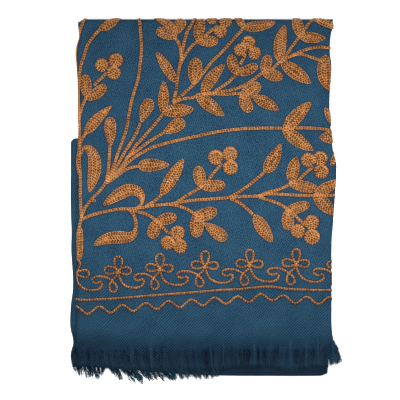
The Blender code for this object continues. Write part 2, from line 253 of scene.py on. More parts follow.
def lay(ply, u, v):
    """Where places of the flattened ply lie once it is folded, in millimetres."""
    u, v = np.broadcast_arrays(np.asarray(u, float), np.asarray(v, float))
    end_y, end_radius, end_turn = end_fold(ply, np.clip(u, *END_SPAN))
    past_end = np.maximum(ply.towards * (v - end_y), 0)
    end_angle = np.minimum(past_end / end_radius, end_turn)
    y = np.where(past_end > 0, end_y, v)
    (left_x, left_radius, left_turn), (right_x, right_radius, right_turn) = side_folds(ply, y)
    left_angle = np.clip((left_x - u) / left_radius, 0, left_turn)
    right_angle = np.clip((u - right_x) / right_radius, 0, right_turn)
    side_out = np.sin(right_angle) - np.sin(left_angle)
    end_out = np.sin(end_angle)
    reach = (np.abs(side_out) ** CORNER_POWER + np.abs(end_out) ** CORNER_POWER) ** (1 / CORNER_POWER)
    ease = 1 / np.maximum(reach, 1)
    radius = np.where(u < 0, left_radius, right_radius)
    x = np.clip(u, left_x, right_x)
    side_drop = radius * (1 - np.cos(np.maximum(left_angle, right_angle)))
    end_drop = end_radius * (1 - np.cos(end_angle))
    drop = (side_drop**CORNER_POWER + end_drop**CORNER_POWER) ** (1 / CORNER_POWER)
    z = ply.height(x, y) - np.minimum(drop, np.maximum(side_drop, end_radius * (1 - np.cos(end_turn))))
    out_x = radius * side_out * ease
    out_y = ply.towards * end_radius * end_out * ease
    return np.stack([x + out_x, y + out_y, z], axis=-1)


def is_on(ply, u, v):
    """Whether places of the flattened ply are on it, folds included."""
    end_y, end_radius, end_turn = end_fold(ply, np.clip(u, *END_SPAN))
    (left_x, left_radius, left_turn), (right_x, right_radius, right_turn) = side_folds(ply, v)
    past_left = u > left_x - left_radius * left_turn + RIM_ROOM
    before_right = u < right_x + right_radius * right_turn - RIM_ROOM
    before_end = ply.towards * (v - end_y) < end_radius * end_turn - RIM_ROOM
    return past_left & before_right & before_end


def unit(vectors):
    """The same directions at a length of 1."""
    return vectors / np.maximum(np.linalg.norm(vectors, axis=-1, keepdims=True), 1e-9)


def lay_raised(ply, u, v, lift):
    """The same places, raised off the face by lift, with the directions across, along and out there."""
    step = 0.05
    across = lay(ply, np.add(u, step), v) - lay(ply, np.subtract(u, step), v)
    along = lay(ply, u, np.add(v, step)) - lay(ply, u, np.subtract(v, step))
    out = unit(np.cross(across, along))
    place = lay(ply, u, v) + out * np.asarray(lift)[..., None]
    return place, across / (2 * step), along / (2 * step), out


# %% [markdown]
# ## Nodes for the finishes
# A finish is a small graph of shader nodes. Short helpers keep the graphs easy to read: each adds one
# kind of node, or one common pair of them. Everything is procedural, so it needs no picture files.

# %% Helpers that build a material
SHEEN_ROUGHNESS = 0.45


class Finish:
    """A material whose nodes are added one after another."""

    def __init__(self, name, roughness, sheen=0.0, sheen_tint=(1, 1, 1, 1), specular=0.3):
        self.material = bpy.data.materials.new(name)
        self.material.use_nodes = True
        self.tree = self.material.node_tree
        self.shader = self.tree.nodes["Principled BSDF"]
        self.shader.inputs["Roughness"].default_value = roughness
        self.shader.inputs["Specular IOR Level"].default_value = specular
        self.shader.inputs["Sheen Weight"].default_value = sheen
        self.shader.inputs["Sheen Roughness"].default_value = SHEEN_ROUGHNESS
        self.shader.inputs["Sheen Tint"].default_value = sheen_tint

    def add(self, kind, settings=None, **inputs):
        """Adds a node, sets its properties and fills or links its inputs by name."""
        node = self.tree.nodes.new(kind)
        for key, value in (settings or {}).items():
            setattr(node, key, value)
        for key, value in inputs.items():
            self.put(node.inputs[key.replace("_", " ")], value)
        return node

    def put(self, socket, value):
        if isinstance(value, bpy.types.NodeSocket):
            self.tree.links.new(value, socket)
        else:
            socket.default_value = value

    def sum(self, operation, *values):
        """One arithmetic step on numbers or sockets."""
        node = self.add("ShaderNodeMath", {"operation": operation})
        for socket, value in zip(node.inputs, values):
            self.put(socket, value)
        return node.outputs[0]

    def plus(self, value, other, strength):
        """A value and a second one added to it at some strength."""
        return self.sum("ADD", value, self.sum("MULTIPLY", other, strength))

    def noise(self, vector, scale, detail=2.0):
        node = self.add("ShaderNodeTexNoise", Vector=vector, Scale=scale, Detail=detail)
        return node.outputs["Fac"]

    def uneven(self, vector, scale, detail=2.0):
        """Noise that goes as far below zero as above it."""
        return self.sum("SUBTRACT", self.noise(vector, scale, detail), 0.5)

    def stretch(self, vector, scale):
        """The same coordinates, stretched by a factor along each axis."""
        node = self.add("ShaderNodeMapping", Vector=vector, Scale=scale)
        return node.outputs["Vector"]

    def attribute(self, name):
        return self.add("ShaderNodeAttribute", {"attribute_name": name}).outputs["Fac"]

    def between(self, share, first, second):
        """Mixes two colours by a share. The Mix node's colours are its inputs 6 and 7."""
        node = self.add("ShaderNodeMix", {"data_type": "RGBA", "clamp_factor": True})
        self.put(node.inputs[0], share)
        self.put(node.inputs[6], first)
        self.put(node.inputs[7], second)
        return node.outputs[2]

    def fit(self, value, low, high, to_low=0.0, to_high=1.0):
        """Maps a stretch of values onto another, and stops at its ends."""
        node = self.add("ShaderNodeMapRange", Value=value)
        node.inputs[1].default_value = low
        node.inputs[2].default_value = high
        node.inputs[3].default_value = to_low
        node.inputs[4].default_value = to_high
        return node.outputs[0]

    def colour(self, socket):
        self.put(self.shader.inputs["Base Color"], socket)

    def relief(self, height, depth):
        """Raises fine relief of the given depth, in metres, from a height of 0 to 1."""
        bump = self.add("ShaderNodeBump", Height=height, Distance=depth)
        self.put(self.shader.inputs["Normal"], bump.outputs[0])


# %% [markdown]
# ## Wool twill
# In a twill each weft thread floats over two warps and steps one aside in the next row, which draws
# fine slanting ribs. They are just under 2 mm apart here. The graph turns the cloth's own flat
# coordinates by 45 degrees, takes a wavy sine across the ribs, and breaks each rib up into its separate
# floats. Uneven dyeing and a little nap come from noise. Near the hem the cloth loosens into bare yarns,
# so upright streaks join the ribs, and the colour goes over to a darker one. That darker colour is
# partly the loosened hem's own and partly painted shade, for the hem's slope away from the lamp and the
# shadow among its loose yarns. On the flap below, it is the fringe's painted shadow. That change has an
# uneven border, and at the left end it begins further up.

# %% The twill finish
RIB_PITCH = 1.95 * MM
FLOAT_PITCH = 2.1 * MM
DIAGONAL_TURN = 2 * math.pi / math.sqrt(2)
WOBBLE_SCALE = 90.0
WOBBLE = 7.0
FUZZ_SCALE = 800.0
DYE_SCALE = 55.0
STREAK_SCALES = (900.0, 40.0, 1.0)
RIB_SHOWN = 0.34
FLOAT_SHOWN = 0.16
FUZZ_SHOWN = 1.9
DYE_SHOWN = 0.5
STREAK_SHOWN = 1.3
RIBS_GROW_FROM_Y = -60 * MM
RIBS_GROW_TO_Y = -125 * MM
BLUE_NAP = (0.30, 0.62, 0.95, 1)
# Hem darkening, partly the cloth's own darker colour and partly painted shade: its reach and colours.
HEM_START_Y = -128 * MM
HEM_END_Y = -150 * MM
HEM_WANDER = 18 * MM
HEM_LEFT_FROM_X = -85 * MM
HEM_LEFT_TO_X = -125 * MM
HEM_LEFT_RISE = 9 * MM
HEM_DARK_AND_SHADE_LOW = (0.0001, 0.0004, 0.0016, 1)
HEM_DARK_AND_SHADE_HIGH = (0.0082, 0.0196, 0.0375, 1)
# Painted shade: the cloth under and around each link turns near black-brown, standing in for the shadow
# among the threads.
STITCH_SHADOW_COLOUR = (0.010, 0.005, 0.002, 1)


def ribs_of(finish, place):
    """Angle across the twill's slanting ribs, which wobble a little."""
    axes = finish.add("ShaderNodeSeparateXYZ", Vector=place)
    across = finish.sum("SUBTRACT", axes.outputs[0], axes.outputs[1])
    across = finish.sum("MULTIPLY", across, DIAGONAL_TURN / RIB_PITCH)
    return finish.plus(across, finish.noise(place, WOBBLE_SCALE, 3.0), WOBBLE)


def hem_dark_and_shade(finish, place):
    """0 on the open cloth and 1 where the hem is darkened, partly its own colour, partly painted shade."""
    axes = finish.add("ShaderNodeSeparateXYZ", Vector=place)
    y = finish.plus(axes.outputs[1], finish.uneven(place, 60.0, 3.0), HEM_WANDER)
    rise = finish.fit(axes.outputs[0], HEM_LEFT_FROM_X, HEM_LEFT_TO_X, 0.0, HEM_LEFT_RISE)
    return finish.fit(finish.sum("SUBTRACT", y, rise), HEM_START_Y, HEM_END_Y)


def wool_twill(name, shade, bright, ribs):
    """Twill between a shade and a bright colour. ribs says how strongly the slanting ribs show."""
    cloth = Finish(name, 0.92, sheen=0.02, sheen_tint=BLUE_NAP, specular=0.02)
    flat = cloth.add("ShaderNodeUVMap", {"uv_map": "flat"}).outputs[0]
    axes = cloth.add("ShaderNodeSeparateXYZ", Vector=flat)
    across_ribs = ribs_of(cloth, flat)
    along_ribs = cloth.sum("ADD", axes.outputs[0], axes.outputs[1])
    along_ribs = cloth.sum("MULTIPLY", along_ribs, DIAGONAL_TURN / FLOAT_PITCH)
    rib = cloth.sum("SINE", across_ribs)
    thread = cloth.sum("SINE", cloth.plus(along_ribs, across_ribs, 0.5))
    patch = cloth.fit(cloth.noise(flat, 30.0), 0.36, 0.64, 0.45, 1.25)
    towards_hem = cloth.fit(axes.outputs[1], RIBS_GROW_FROM_Y, RIBS_GROW_TO_Y, 0.68, 1.35)
    towards_hem = cloth.sum("MULTIPLY", towards_hem, ribs)
    shown = cloth.sum("MULTIPLY", cloth.sum("MULTIPLY", rib, patch), towards_hem)
    fuzz = cloth.uneven(flat, FUZZ_SCALE)
    weave = cloth.plus(cloth.sum("MULTIPLY", shown, RIB_SHOWN), thread, FLOAT_SHOWN * ribs)
    tone = cloth.sum("ADD", cloth.plus(weave, fuzz, FUZZ_SHOWN), 0.5)
    tone = cloth.plus(tone, cloth.uneven(flat, DYE_SCALE, 4.0), DYE_SHOWN)
    streak = cloth.uneven(cloth.stretch(flat, STREAK_SCALES), 1.0, 3.0)
    streak = cloth.sum("MULTIPLY", streak, cloth.attribute("loosened"))
    tone = cloth.plus(tone, streak, STREAK_SHOWN)
    colour = cloth.between(tone, shade, bright)
    # The hem's colours: partly its own darker ones, partly painted shade; on the flap, the fringe's
    # painted shadow.
    deep = cloth.between(tone, HEM_DARK_AND_SHADE_LOW, HEM_DARK_AND_SHADE_HIGH)
    colour = cloth.between(hem_dark_and_shade(cloth, flat), colour, deep)
    # Painted shade of the stitches on the cloth beneath them.
    cloth.colour(cloth.between(cloth.attribute("stitch_shadow"), colour, STITCH_SHADOW_COLOUR))
    cloth.relief(cloth.plus(cloth.sum("MULTIPLY", shown, 0.5), fuzz, 0.8), 0.25 * MM)
    return cloth.material


FRONT_TWILL = wool_twill("front_twill", (0.0005, 0.0040, 0.0098, 1), (0.0122, 0.0365, 0.0615, 1), 1.0)
PLAIN_TWILL = wool_twill("plain_twill", (0.0006, 0.0040, 0.0090, 1), (0.0140, 0.0395, 0.0665, 1), 2.4)
print("twill ribs", RIB_PITCH / MM, "mm apart")

# %% [markdown]
# ## Copper thread and loose yarn
# Chain stitch catches light on each small loop, and this light is painted into the thread's colour
# through a number stored on the mesh: a painted highlight at both ends of each link, where its strands
# meet, and painted shade on the inner faces of its loop. The number also differs from loop to loop and
# drifts softly over the whole cloth. Its fibres aren't all one copper: ruddy ones run among the orange,
# and the painted highlights are paler in places. Fine bump stands for the twist of its filaments. The
# fringe is the cloth's own yarn, so it takes the colours of the cloth and of its hem, the hem's painted
# shade included, one tone a strand. It is lighter in its tufts, a painted highlight where they catch the
# light, and at its thin tips.

# %% The thread and yarn finishes
# The deepest colour is painted shade inside the loops; the glint colours are painted highlights at the
# link ends.
THREAD_PAINTED_SHADE = (0.010, 0.0025, 0.0004, 1)
THREAD_ORANGE = (0.200, 0.074, 0.0060, 1)
THREAD_RUDDY = (0.178, 0.052, 0.0100, 1)
THREAD_PAINTED_GLINT = (0.310, 0.125, 0.030, 1)
THREAD_PAINTED_PALE_GLINT = (0.370, 0.195, 0.105, 1)
THREAD_WORN = (0.20, 0.10, 0.045, 1)
YARN_SHADE = (0.0005, 0.0036, 0.0090, 1)
YARN_BRIGHT = (0.0150, 0.0430, 0.0720, 1)
YARN_DARK_AND_SHADE_HIGH = (0.0112, 0.0275, 0.0520, 1)
# Painted highlight on the tufts that catch the light.
YARN_TUFT_HIGHLIGHT = (0.0190, 0.0560, 0.0920, 1)
YARN_TIP = (0.0190, 0.0540, 0.0900, 1)


def copper_thread(name):
    thread = Finish(name, 0.60, sheen=0.02, sheen_tint=(1.0, 0.75, 0.55, 1), specular=0.10)
    place = thread.add("ShaderNodeTexCoord").outputs["Object"]
    mirrored = thread.stretch(place, (-1.0, 1.0, 1.0))
    tone = thread.plus(thread.attribute("tone"), thread.noise(place, 45.0), 0.7)
    ruddy = thread.fit(thread.noise(place, 620.0), 0.44, 0.58)
    orange = thread.between(ruddy, THREAD_ORANGE, THREAD_RUDDY)
    pale = thread.fit(thread.noise(mirrored, 700.0), 0.48, 0.62)
    glint = thread.between(pale, THREAD_PAINTED_GLINT, THREAD_PAINTED_PALE_GLINT)
    # Low tones give the painted shade, high tones the painted highlights.
    colour = thread.between(thread.fit(tone, -0.05, 0.78), THREAD_PAINTED_SHADE, orange)
    colour = thread.between(thread.fit(tone, 0.72, 1.4), colour, glint)
    worn = thread.fit(thread.noise(place, 20.0), 0.45, 0.7)
    thread.colour(thread.between(thread.sum("MULTIPLY", worn, 0.2), colour, THREAD_WORN))
    thread.relief(thread.noise(place, 3200.0), 0.12 * MM)
    return thread.material


def loose_yarn(name):
    yarn = Finish(name, 0.90, sheen=0.02, sheen_tint=BLUE_NAP, specular=0.02)
    place = yarn.add("ShaderNodeTexCoord").outputs["Object"]
    y = yarn.add("ShaderNodeSeparateXYZ", Vector=place).outputs[1]
    held = yarn.fit(y, -164 * MM, -154 * MM, 0.50, 1.30)
    tone = yarn.plus(yarn.attribute("tone"), yarn.sum("SINE", ribs_of(yarn, place)), held)
    tone = yarn.plus(tone, yarn.uneven(place, FUZZ_SCALE), 5.0)
    colour = yarn.between(tone, YARN_SHADE, YARN_BRIGHT)
    # The yarns take the hem's darkening too: partly their own darker colour, partly painted shade.
    deep = yarn.between(tone, HEM_DARK_AND_SHADE_LOW, YARN_DARK_AND_SHADE_HIGH)
    colour = yarn.between(hem_dark_and_shade(yarn, place), colour, deep)
    # Painted highlight on the tufts.
    colour = yarn.between(yarn.sum("MULTIPLY", yarn.attribute("tuft"), 0.7), colour, YARN_TUFT_HIGHLIGHT)
    yarn.colour(yarn.between(yarn.attribute("tip"), colour, YARN_TIP))
    yarn.relief(yarn.noise(place, 2500.0), 0.1 * MM)
    return yarn.material


COPPER = copper_thread("copper_thread")
YARN = loose_yarn("loose_yarn")


# %% A helper that makes a piece from arrays
def make_piece(name, places, faces, material, node=None, numbers=None, flat=None):
    """Makes a smooth mesh from places in millimetres, gives it its finish and body, and hides its solid.
    """
    mesh = bpy.data.meshes.new(name)
    mesh.from_pydata((np.asarray(places, float) * MM).tolist(), [], np.asarray(faces).tolist())
    mesh.shade_smooth()
    for key, values in (numbers or {}).items():
        layer = mesh.attributes.new(key, "FLOAT", "POINT")
        layer.data.foreach_set("value", np.asarray(values, np.float32))
    if flat is not None:
        layer = mesh.uv_layers.new(name="flat")
        corners = np.empty(len(mesh.loops), np.int32)
        mesh.loops.foreach_get("vertex_index", corners)
        layer.data.foreach_set("uv", (flat[corners] * MM).astype(np.float32).ravel())
    piece = bpy.data.objects.new(name, mesh)
    piece.data.materials.append(material)
    bpy.context.scene.collection.objects.link(piece)
    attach(piece, BODY)
    if node:
        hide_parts(node)
    return piece


# %% [markdown]
# ## The embroidery's layout
# The vine is drawn on the flattened front as an embroiderer would chalk it: stems as smooth lines
# through a few points, then leaves, buds and rounded lobes placed by base and tip, and berries by their
# centres. Points past an edge of the packet wrap round it. All of them are in millimetres, with the
# middle of the packet at 0, 0.

# %% Stems of the vine
STEMS = (
    ((-118, -16), (-119, 5), (-119, 25), (-120, 39), (-120, 53), (-120, 72), (-120.5, 91), (-120.5, 110),
     (-119, 126), (-115.5, 138), (-111.5, 149), (-106, 157), (-101, 162.5)),
    ((-120, 72), (-122, 90), (-122.5, 115), (-123.5, 140), (-121, 155), (-119, 163), (-117, 169),
     (-114, 176)),
    ((-118, -16), (-119.5, -23), (-120, -30)),
    ((-126, 50), (-123.5, 38), (-119.5, 25)),
    ((-118, -16), (-115, -8), (-111, -2), (-106, 4), (-99, 11), (-94, 19)),
    ((-94, 19), (-92, 34), (-91, 52)),
    ((-94, 19), (-89, 29), (-84, 43), (-79, 57), (-75, 69), (-73, 81), (-71, 92), (-68, 103), (-64, 117),
     (-62, 132), (-61, 147), (-62, 161), (-63, 172), (-64, 180)),
    ((-94, 19), (-88, 27), (-82.5, 36), (-77, 46), (-70, 57), (-65.2, 66), (-62.3, 73.5)),
    ((-93, 19), (-82, 30), (-74.8, 40), (-65.8, 53), (-55.8, 64), (-46.3, 75), (-41, 82)),
    ((-76, 40), (-70, 44), (-61, 51), (-51, 58), (-41, 64)),
    ((-94, 19), (-88, 23), (-79, 31), (-71, 38.8), (-62, 44.8), (-53, 49.7), (-41, 53.7), (-24, 58),
     (-5, 62.1), (9, 65.2), (25, 67.5), (42, 68.8), (72, 69), (90, 69.2), (104, 68.8), (113, 67.8),
     (122, 65.5), (126, 63.5)),
    ((-94, 17), (-88, 20.5), (-81, 26), (-73, 31), (-63, 33)),
    ((-120, 40), (-119, 44), (-116.5, 47.5)),
    ((-118, -18), (-110, -14.2), (-98, -10.8), (-83, -8), (-72, -7.7), (-60, -6.3), (-48, -4.3), (-34, -3),
     (-20, -0.6), (-5, 1), (9, 2), (23, 3), (37, 4.2), (50, 4.5), (59, 6.5), (74, 6), (90, 5.2),
     (105, 5), (126, 5.2)),
    ((50, 4.5), (59, 8), (70, 11), (77, 14), (82, 17.5)),
    ((51, 3.5), (63, -0.5), (72, -4), (79, -9)),
    ((23, 3.5), (33, 9.3), (43, 16.3), (50.8, 22.8), (56.3, 27.5)),
    ((24, 2), (33, -2.6), (40, -8.4), (46, -14)),
    ((-27, -1), (-17, 5.5), (-9, 10), (-3, 14)),
    ((-39, -3), (-25.5, -5), (-16, -9), (-8, -14)),
    ((-57, -5), (-49, -0.5), (-42, 5.5)),
    ((-65, -7), (-61, -3), (-59, 2)),
    ((-73, -8), (-68, -14), (-66, -22), (-67, -29)),
    ((-71, -9), (-61, -11.2), (-53, -14.4), (-46.7, -19.3), (-41, -25), (-35, -31)),
    ((-108, 0.5), (-104, -0.5)),
    ((-31, 94), (-28, 105), (-27, 115), (-25, 126), (-23.5, 136), (-24, 144), (-26, 150.5), (-30, 155)),
    ((-23.5, 134), (-21.5, 146), (-18, 159), (-12, 171), (-9, 179)),
    ((-23.5, 131), (-18, 141), (-12, 148), (-7, 152)),
    ((-31, 94), (-22, 101), (-13, 109), (-5, 118), (5, 131), (15, 141), (25, 152), (36, 164)),
    ((-31, 93), (-22, 96.5), (-13, 98), (-3, 101)),
    ((-3, 101), (9, 103), (23, 105), (35, 109), (45, 115), (54, 122)),
    ((7, 103), (15, 108), (23, 114), (29, 120)),
    ((-3, 101.5), (9, 101.5), (19, 101), (28, 102), (36, 101)),
    ((-1, 156), (4, 161), (11, 166)),
    ((33, 130), (38, 139)),
    ((62, 124), (67, 129), (72, 133)),
    ((72, 133), (77, 139), (83, 148), (90, 157)),
    ((92, 160), (97, 167), (102, 173), (106, 179)),
    ((74, 134), (85, 139.5), (95, 143.5), (107, 146), (121, 145), (126, 144)),
    ((80, 137), (89, 139.5), (97, 137.5), (107, 134), (112, 132)),
    ((-120, 79), (-117.5, 89), (-113.5, 98)),
    ((-106, 110), (-99.5, 116.2), (-94.5, 121)),
    ((-119.5, 50), (-117.5, 58), (-113.5, 65)),
    ((2.5, 20), (9.8, 29), (15.5, 35)),
    ((88.5, 20), (95.8, 27), (102, 32)),
    ((83, -12), (89, -18), (95, -24)),
    ((-9, -18), (-2, -20)),
)

# %% Leaves, buds and lobes
Leaf = namedtuple("Leaf", "kind base tip width bow")
LEAVES = (
    Leaf("leaf", (-101.8, 162.3), (-79.8, 177.3), 9.5, -1),
    Leaf("lobe", (-113, 98), (-114.5, 120), 11, 0),
    Leaf("lobe", (-114, 97), (-95, 110), 11, -1.5),
    Leaf("drop", (-114, 64), (-88.5, 90.5), 10.8, 1.5),
    Leaf("bud", (-90.2, 51), (-90.7, 80), 11.6, 0),
    Leaf("round", (-61.8, 73), (-52.2, 96.8), 12.6, 0.5),
    Leaf("leaf", (-41, 83), (-40, 114.5), 10.5, -0.5),
    Leaf("leaf", (-42, 84.5), (-10, 87), 13, 0),
    Leaf("round", (-42, 63.5), (-20.2, 76.5), 12.8, -0.5),
    Leaf("drop", (-64.5, 33), (-33, 34), 13, 0.5),
    Leaf("lobe", (-47.5, -20), (-27.5, -15.5), 11.5, 0.5),
    Leaf("lobe", (-45.5, -18), (-52, -36), 12.5, 0),
    Leaf("leaf", (-42.5, 5), (-20.4, 40.8), 12.3, 0),
    Leaf("lobe", (-119.5, -24), (-120.5, -57), 8, 0),
    Leaf("leaf", (-28.3, 112.3), (-47.2, 142.3), 10.2, 0),
    Leaf("lobe", (-27, 156), (-47, 162), 12, 0),
    Leaf("round", (-32, 155), (-21, 173.5), 11.4, 0),
    Leaf("leaf", (-29, 164), (-50, 177), 8, 0),
    Leaf("lobe", (-10.6, 110.5), (-8.6, 135.7), 14, 0.5),
    Leaf("lobe", (-7, 151), (-3.2, 174), 11, 1),
    Leaf("lobe", (-9, 152.5), (12, 152), 11, -0.5),
    Leaf("lobe", (36.5, 164), (28, 180), 8, 0),
    Leaf("leaf", (34, 165), (67.5, 170), 10.5, -1.5),
    Leaf("leaf", (-3.5, 100.5), (18.6, 130), 11.8, 2.2),
    Leaf("leaf", (-9.3, 102), (18.2, 80.3), 12.8, -0.5),
    Leaf("lobe", (30, 120.3), (24.3, 139.2), 10.9, 1.3),
    Leaf("lobe", (28, 122), (49, 129.5), 10.4, -2),
    Leaf("lobe", (55.8, 120), (59.8, 138.8), 11, 0.5),
    Leaf("lobe", (53.5, 123), (73.2, 117.2), 11.6, -0.5),
    Leaf("leaf", (70.6, 131), (76, 168), 12.4, 2.6),
    Leaf("leaf", (71.2, 132.5), (101, 111), 13.4, -0.2),
    Leaf("lobe", (91.5, 155), (85.3, 176), 11.2, 0.5),
    Leaf("leaf", (88, 157), (115, 155), 11, -1),
    Leaf("leaf", (101, 174), (126, 162.6), 8, 1),
    Leaf("leaf", (115.2, 139), (118.5, 104.3), 13.6, -4.5),
    Leaf("lobe", (33, 98), (52, 111), 13.5, 0),
    Leaf("lobe", (33.8, 101), (43, 84.3), 12, -0.5),
    Leaf("leaf", (45, 99), (70, 86), 11.5, 0.5),
    Leaf("leaf", (74, 65.8), (101.2, 94.2), 13.4, 1.2),
    Leaf("leaf", (73, 70), (102.8, 47.8), 12.8, -1.5),
    Leaf("leaf", (124.6, 69.5), (113.2, 90.3), 8, 1),
    Leaf("leaf", (129, 60.6), (107, 60), 12.6, 0),
    Leaf("leaf", (126, 48), (119, 32.5), 7, 0),
    Leaf("lobe", (-2.8, 12.5), (-6.9, 33.2), 12.2, 1),
    Leaf("lobe", (-6, 14.7), (18.7, 15.6), 11.5, -1),
    Leaf("drop", (56.3, 26.8), (71.8, 55.5), 13.3, -1.1),
    Leaf("leaf", (81.4, 16), (87, 43), 12.2, 1.1),
    Leaf("lobe", (78.7, 17.3), (106.3, 11.2), 11.2, -0.5),
    Leaf("leaf", (103, 6), (129, 20), 11, 0),
    Leaf("leaf", (103, 8), (124, -14), 13, -1),
    Leaf("lobe", (75, -12), (99, -3.5), 11, 1),
    Leaf("lobe", (79.5, -8), (79.6, -28), 12.4, -1.5),
    Leaf("lobe", (-10, -16), (10.7, -9.2), 12.6, 0),
    Leaf("lobe", (-6.8, -9.3), (-8.8, -35), 13.8, -0.5),
    Leaf("round", (-3, -20), (19.8, -37), 12.6, 0),
    Leaf("leaf", (46, -13), (64, -40), 13, -0.5),
)

# %% Hooked leaves
# Three leaves turn over at their base like a hook, so each has its middle line drawn out.
Hook = namedtuple("Hook", "middle width")
HOOKS = (
    Hook(((-118, 48.5), (-113.5, 50.3), (-109, 47.5), (-106, 40.5), (-105.3, 31), (-107.3, 20),
          (-110.8, 7)), 12.8),
    Hook(((-60.5, -3), (-61, 4), (-65.7, 9.3), (-74, 10), (-82.5, 6), (-90.3, 0.8), (-98, -5)), 12.3),
    Hook(((-67, -25), (-67.5, -30.5), (-72.3, -34.3), (-81, -34.7), (-90, -35.3), (-98, -37.6),
          (-107, -42.6)), 12.2),
)

# %% Berries
Berry = namedtuple("Berry", "x y radius")
BERRIES = (
    Berry(-98.6, 129, 6.7), Berry(-85.3, 133.6, 7.1), Berry(-87.4, 121.9, 6.9),
    Berry(6, 173, 5.5), Berry(19, 171, 6.5), Berry(14, 161, 6.3),
    Berry(40.6, 150.3, 6.8), Berry(33, 143.5, 6.4), Berry(46.2, 140.5, 6.4),
    Berry(9.5, 41.3, 7.4), Berry(23.1, 44.5, 7.4), Berry(23.6, 31.7, 7.3),
    Berry(97.3, 38.8, 7.0), Berry(108.9, 40.3, 7.2), Berry(109.8, 27.8, 7.2),
    Berry(87.5, -28.7, 7.0), Berry(100.6, -20.5, 7.3), Berry(101.1, -34.3, 7.7),
    Berry(-26.8, -30.3, 7.1), Berry(-24.4, -43.2, 7.2), Berry(-36, -39.8, 6.8),
)

# %% The scrolling border
# Flowers of three loops stand on a scroll that runs from one to the next, over a line and a wave.
FLOWERS = ((-123, -69), (-83, -66.5), (-43.5, -64), (-0.5, -61.5), (42, -60), (86, -59.5), (128.5, -61))
SCROLL_PITCH = 43.0
SCROLL = (
    (0, 0), (1, -6), (5, -12.8), (12, -16.4), (20, -17), (25, -15), (26.8, -11.8), (24.8, -9.4),
    (20.8, -10.2), (17.3, -8.8), (17.2, -6), (21.3, -4.3), (28.5, -5), (35, -8.2), (40, -12.8),
    (41.3, -17), (38.5, -19.5), (35, -18), (34.5, -13), (37, -8.5), (41, -5), (43, 0),
)
Loop = namedtuple("Loop", "turn length width")
LOOPS = (Loop(90, 13.4, 8.4), Loop(176, 12.8, 7.8), Loop(0, 12, 7.6))
LINE = (
    Edge(-126, -93.2), Edge(-114, -94.2), Edge(-81, -92.4), Edge(-37, -88.8), Edge(-20, -87.7),
    Edge(-3, -86.2), Edge(14, -84.8), Edge(33, -83.9), Edge(47, -82.4), Edge(62, -81.5),
    Edge(75, -83.4), Edge(90, -84.3), Edge(109, -84.8), Edge(126, -84.8),
)
WAVE_BELOW = 10.0
WAVE_HEIGHT = 3.2
WAVE_PITCH = 21.9
WAVE_LOW_X = -2.6

# %% [markdown]
# ## From shapes to rows of chain stitch
# An embroiderer fills a leaf with rows of chain that follow its outline, one inside the other, and a
# berry with one row that winds inwards. A stem has two rows, the border one. Each row is first a smooth
# line, and then a list of single links at even steps along it.

# %% Smooth lines and even steps
LINK_PITCH = 2.5
ROW_PITCH = 2.05
ROW_EDGE = 1.30
LOOK_AHEAD = 0.3
Row = namedtuple("Row", "places directions")


def smooth_line(points, steps=12):
    """A Catmull-Rom curve through the points."""
    knots = np.array(points, float)
    padded = np.vstack([2 * knots[0] - knots[1], knots, 2 * knots[-1] - knots[-2]])
    share = np.linspace(0, 1, steps, endpoint=False)[:, None]
    stretches = []
    for k in range(len(knots) - 1):
        a, b, c, d = padded[k : k + 4]
        stretches.append(
            0.5 * (2 * b + (c - a) * share + (2 * a - 5 * b + 4 * c - d) * share**2
                   + (3 * b - a - 3 * c + d) * share**3)
        )
    return np.vstack(stretches + [knots[-1:]])


def left_of(line):
    """Unit directions to the left of a line."""
    along = unit(np.gradient(line, axis=0))
    return np.stack([-along[:, 1], along[:, 0]], axis=1)


def lengths_along(line):
    """How far each point of a line is from its start, measured along it."""
    return np.concatenate([[0], np.cumsum(np.linalg.norm(np.diff(line, axis=0), axis=1))])


def read_line(line, at):
    """Places on a line at these distances from its start."""
    lengths = lengths_along(line)
    return np.stack([np.interp(at, lengths, line[:, k]) for k in range(2)], axis=1)


def chain_row(line, backwards=False):
    """Links at even steps along a line."""
    if backwards:
        line = line[::-1]
    length = lengths_along(line)[-1]
    count = int(length / LINK_PITCH)
    if count < 1:
        return None
    at = (np.arange(count) + 0.5) * length / count
    directions = unit(read_line(line, at + LOOK_AHEAD) - read_line(line, at - LOOK_AHEAD))
    return Row(read_line(line, at), directions)


# %% Rows of a stem, a leaf and a berry
STEM_HALF = 0.46
ROOM_FOR_ROW = 0.3 * ROW_PITCH
ROOM_FOR_CORE = -0.35 * ROW_PITCH
OUTLINE_POINTS = 60
CORE_TRIM = 10
Shape = namedtuple("Shape", "start end base_inset tip_inset")
SHAPES = {
    "leaf": Shape(0.62, 0.80, 1.3, 1.7),
    "drop": Shape(0.50, 0.95, 1.1, 1.9),
    "bud": Shape(0.85, 0.46, 1.7, 1.0),
    "lobe": Shape(0.48, 0.42, 1.1, 1.0),
    "round": Shape(0.95, 0.42, 1.8, 1.0),
    "hook": Shape(0.85, 0.80, 1.0, 1.8),
}


def stem_rows(points):
    line = smooth_line(points)
    aside = left_of(line) * STEM_HALF
    return [chain_row(line + aside), chain_row(line - aside, backwards=True)]


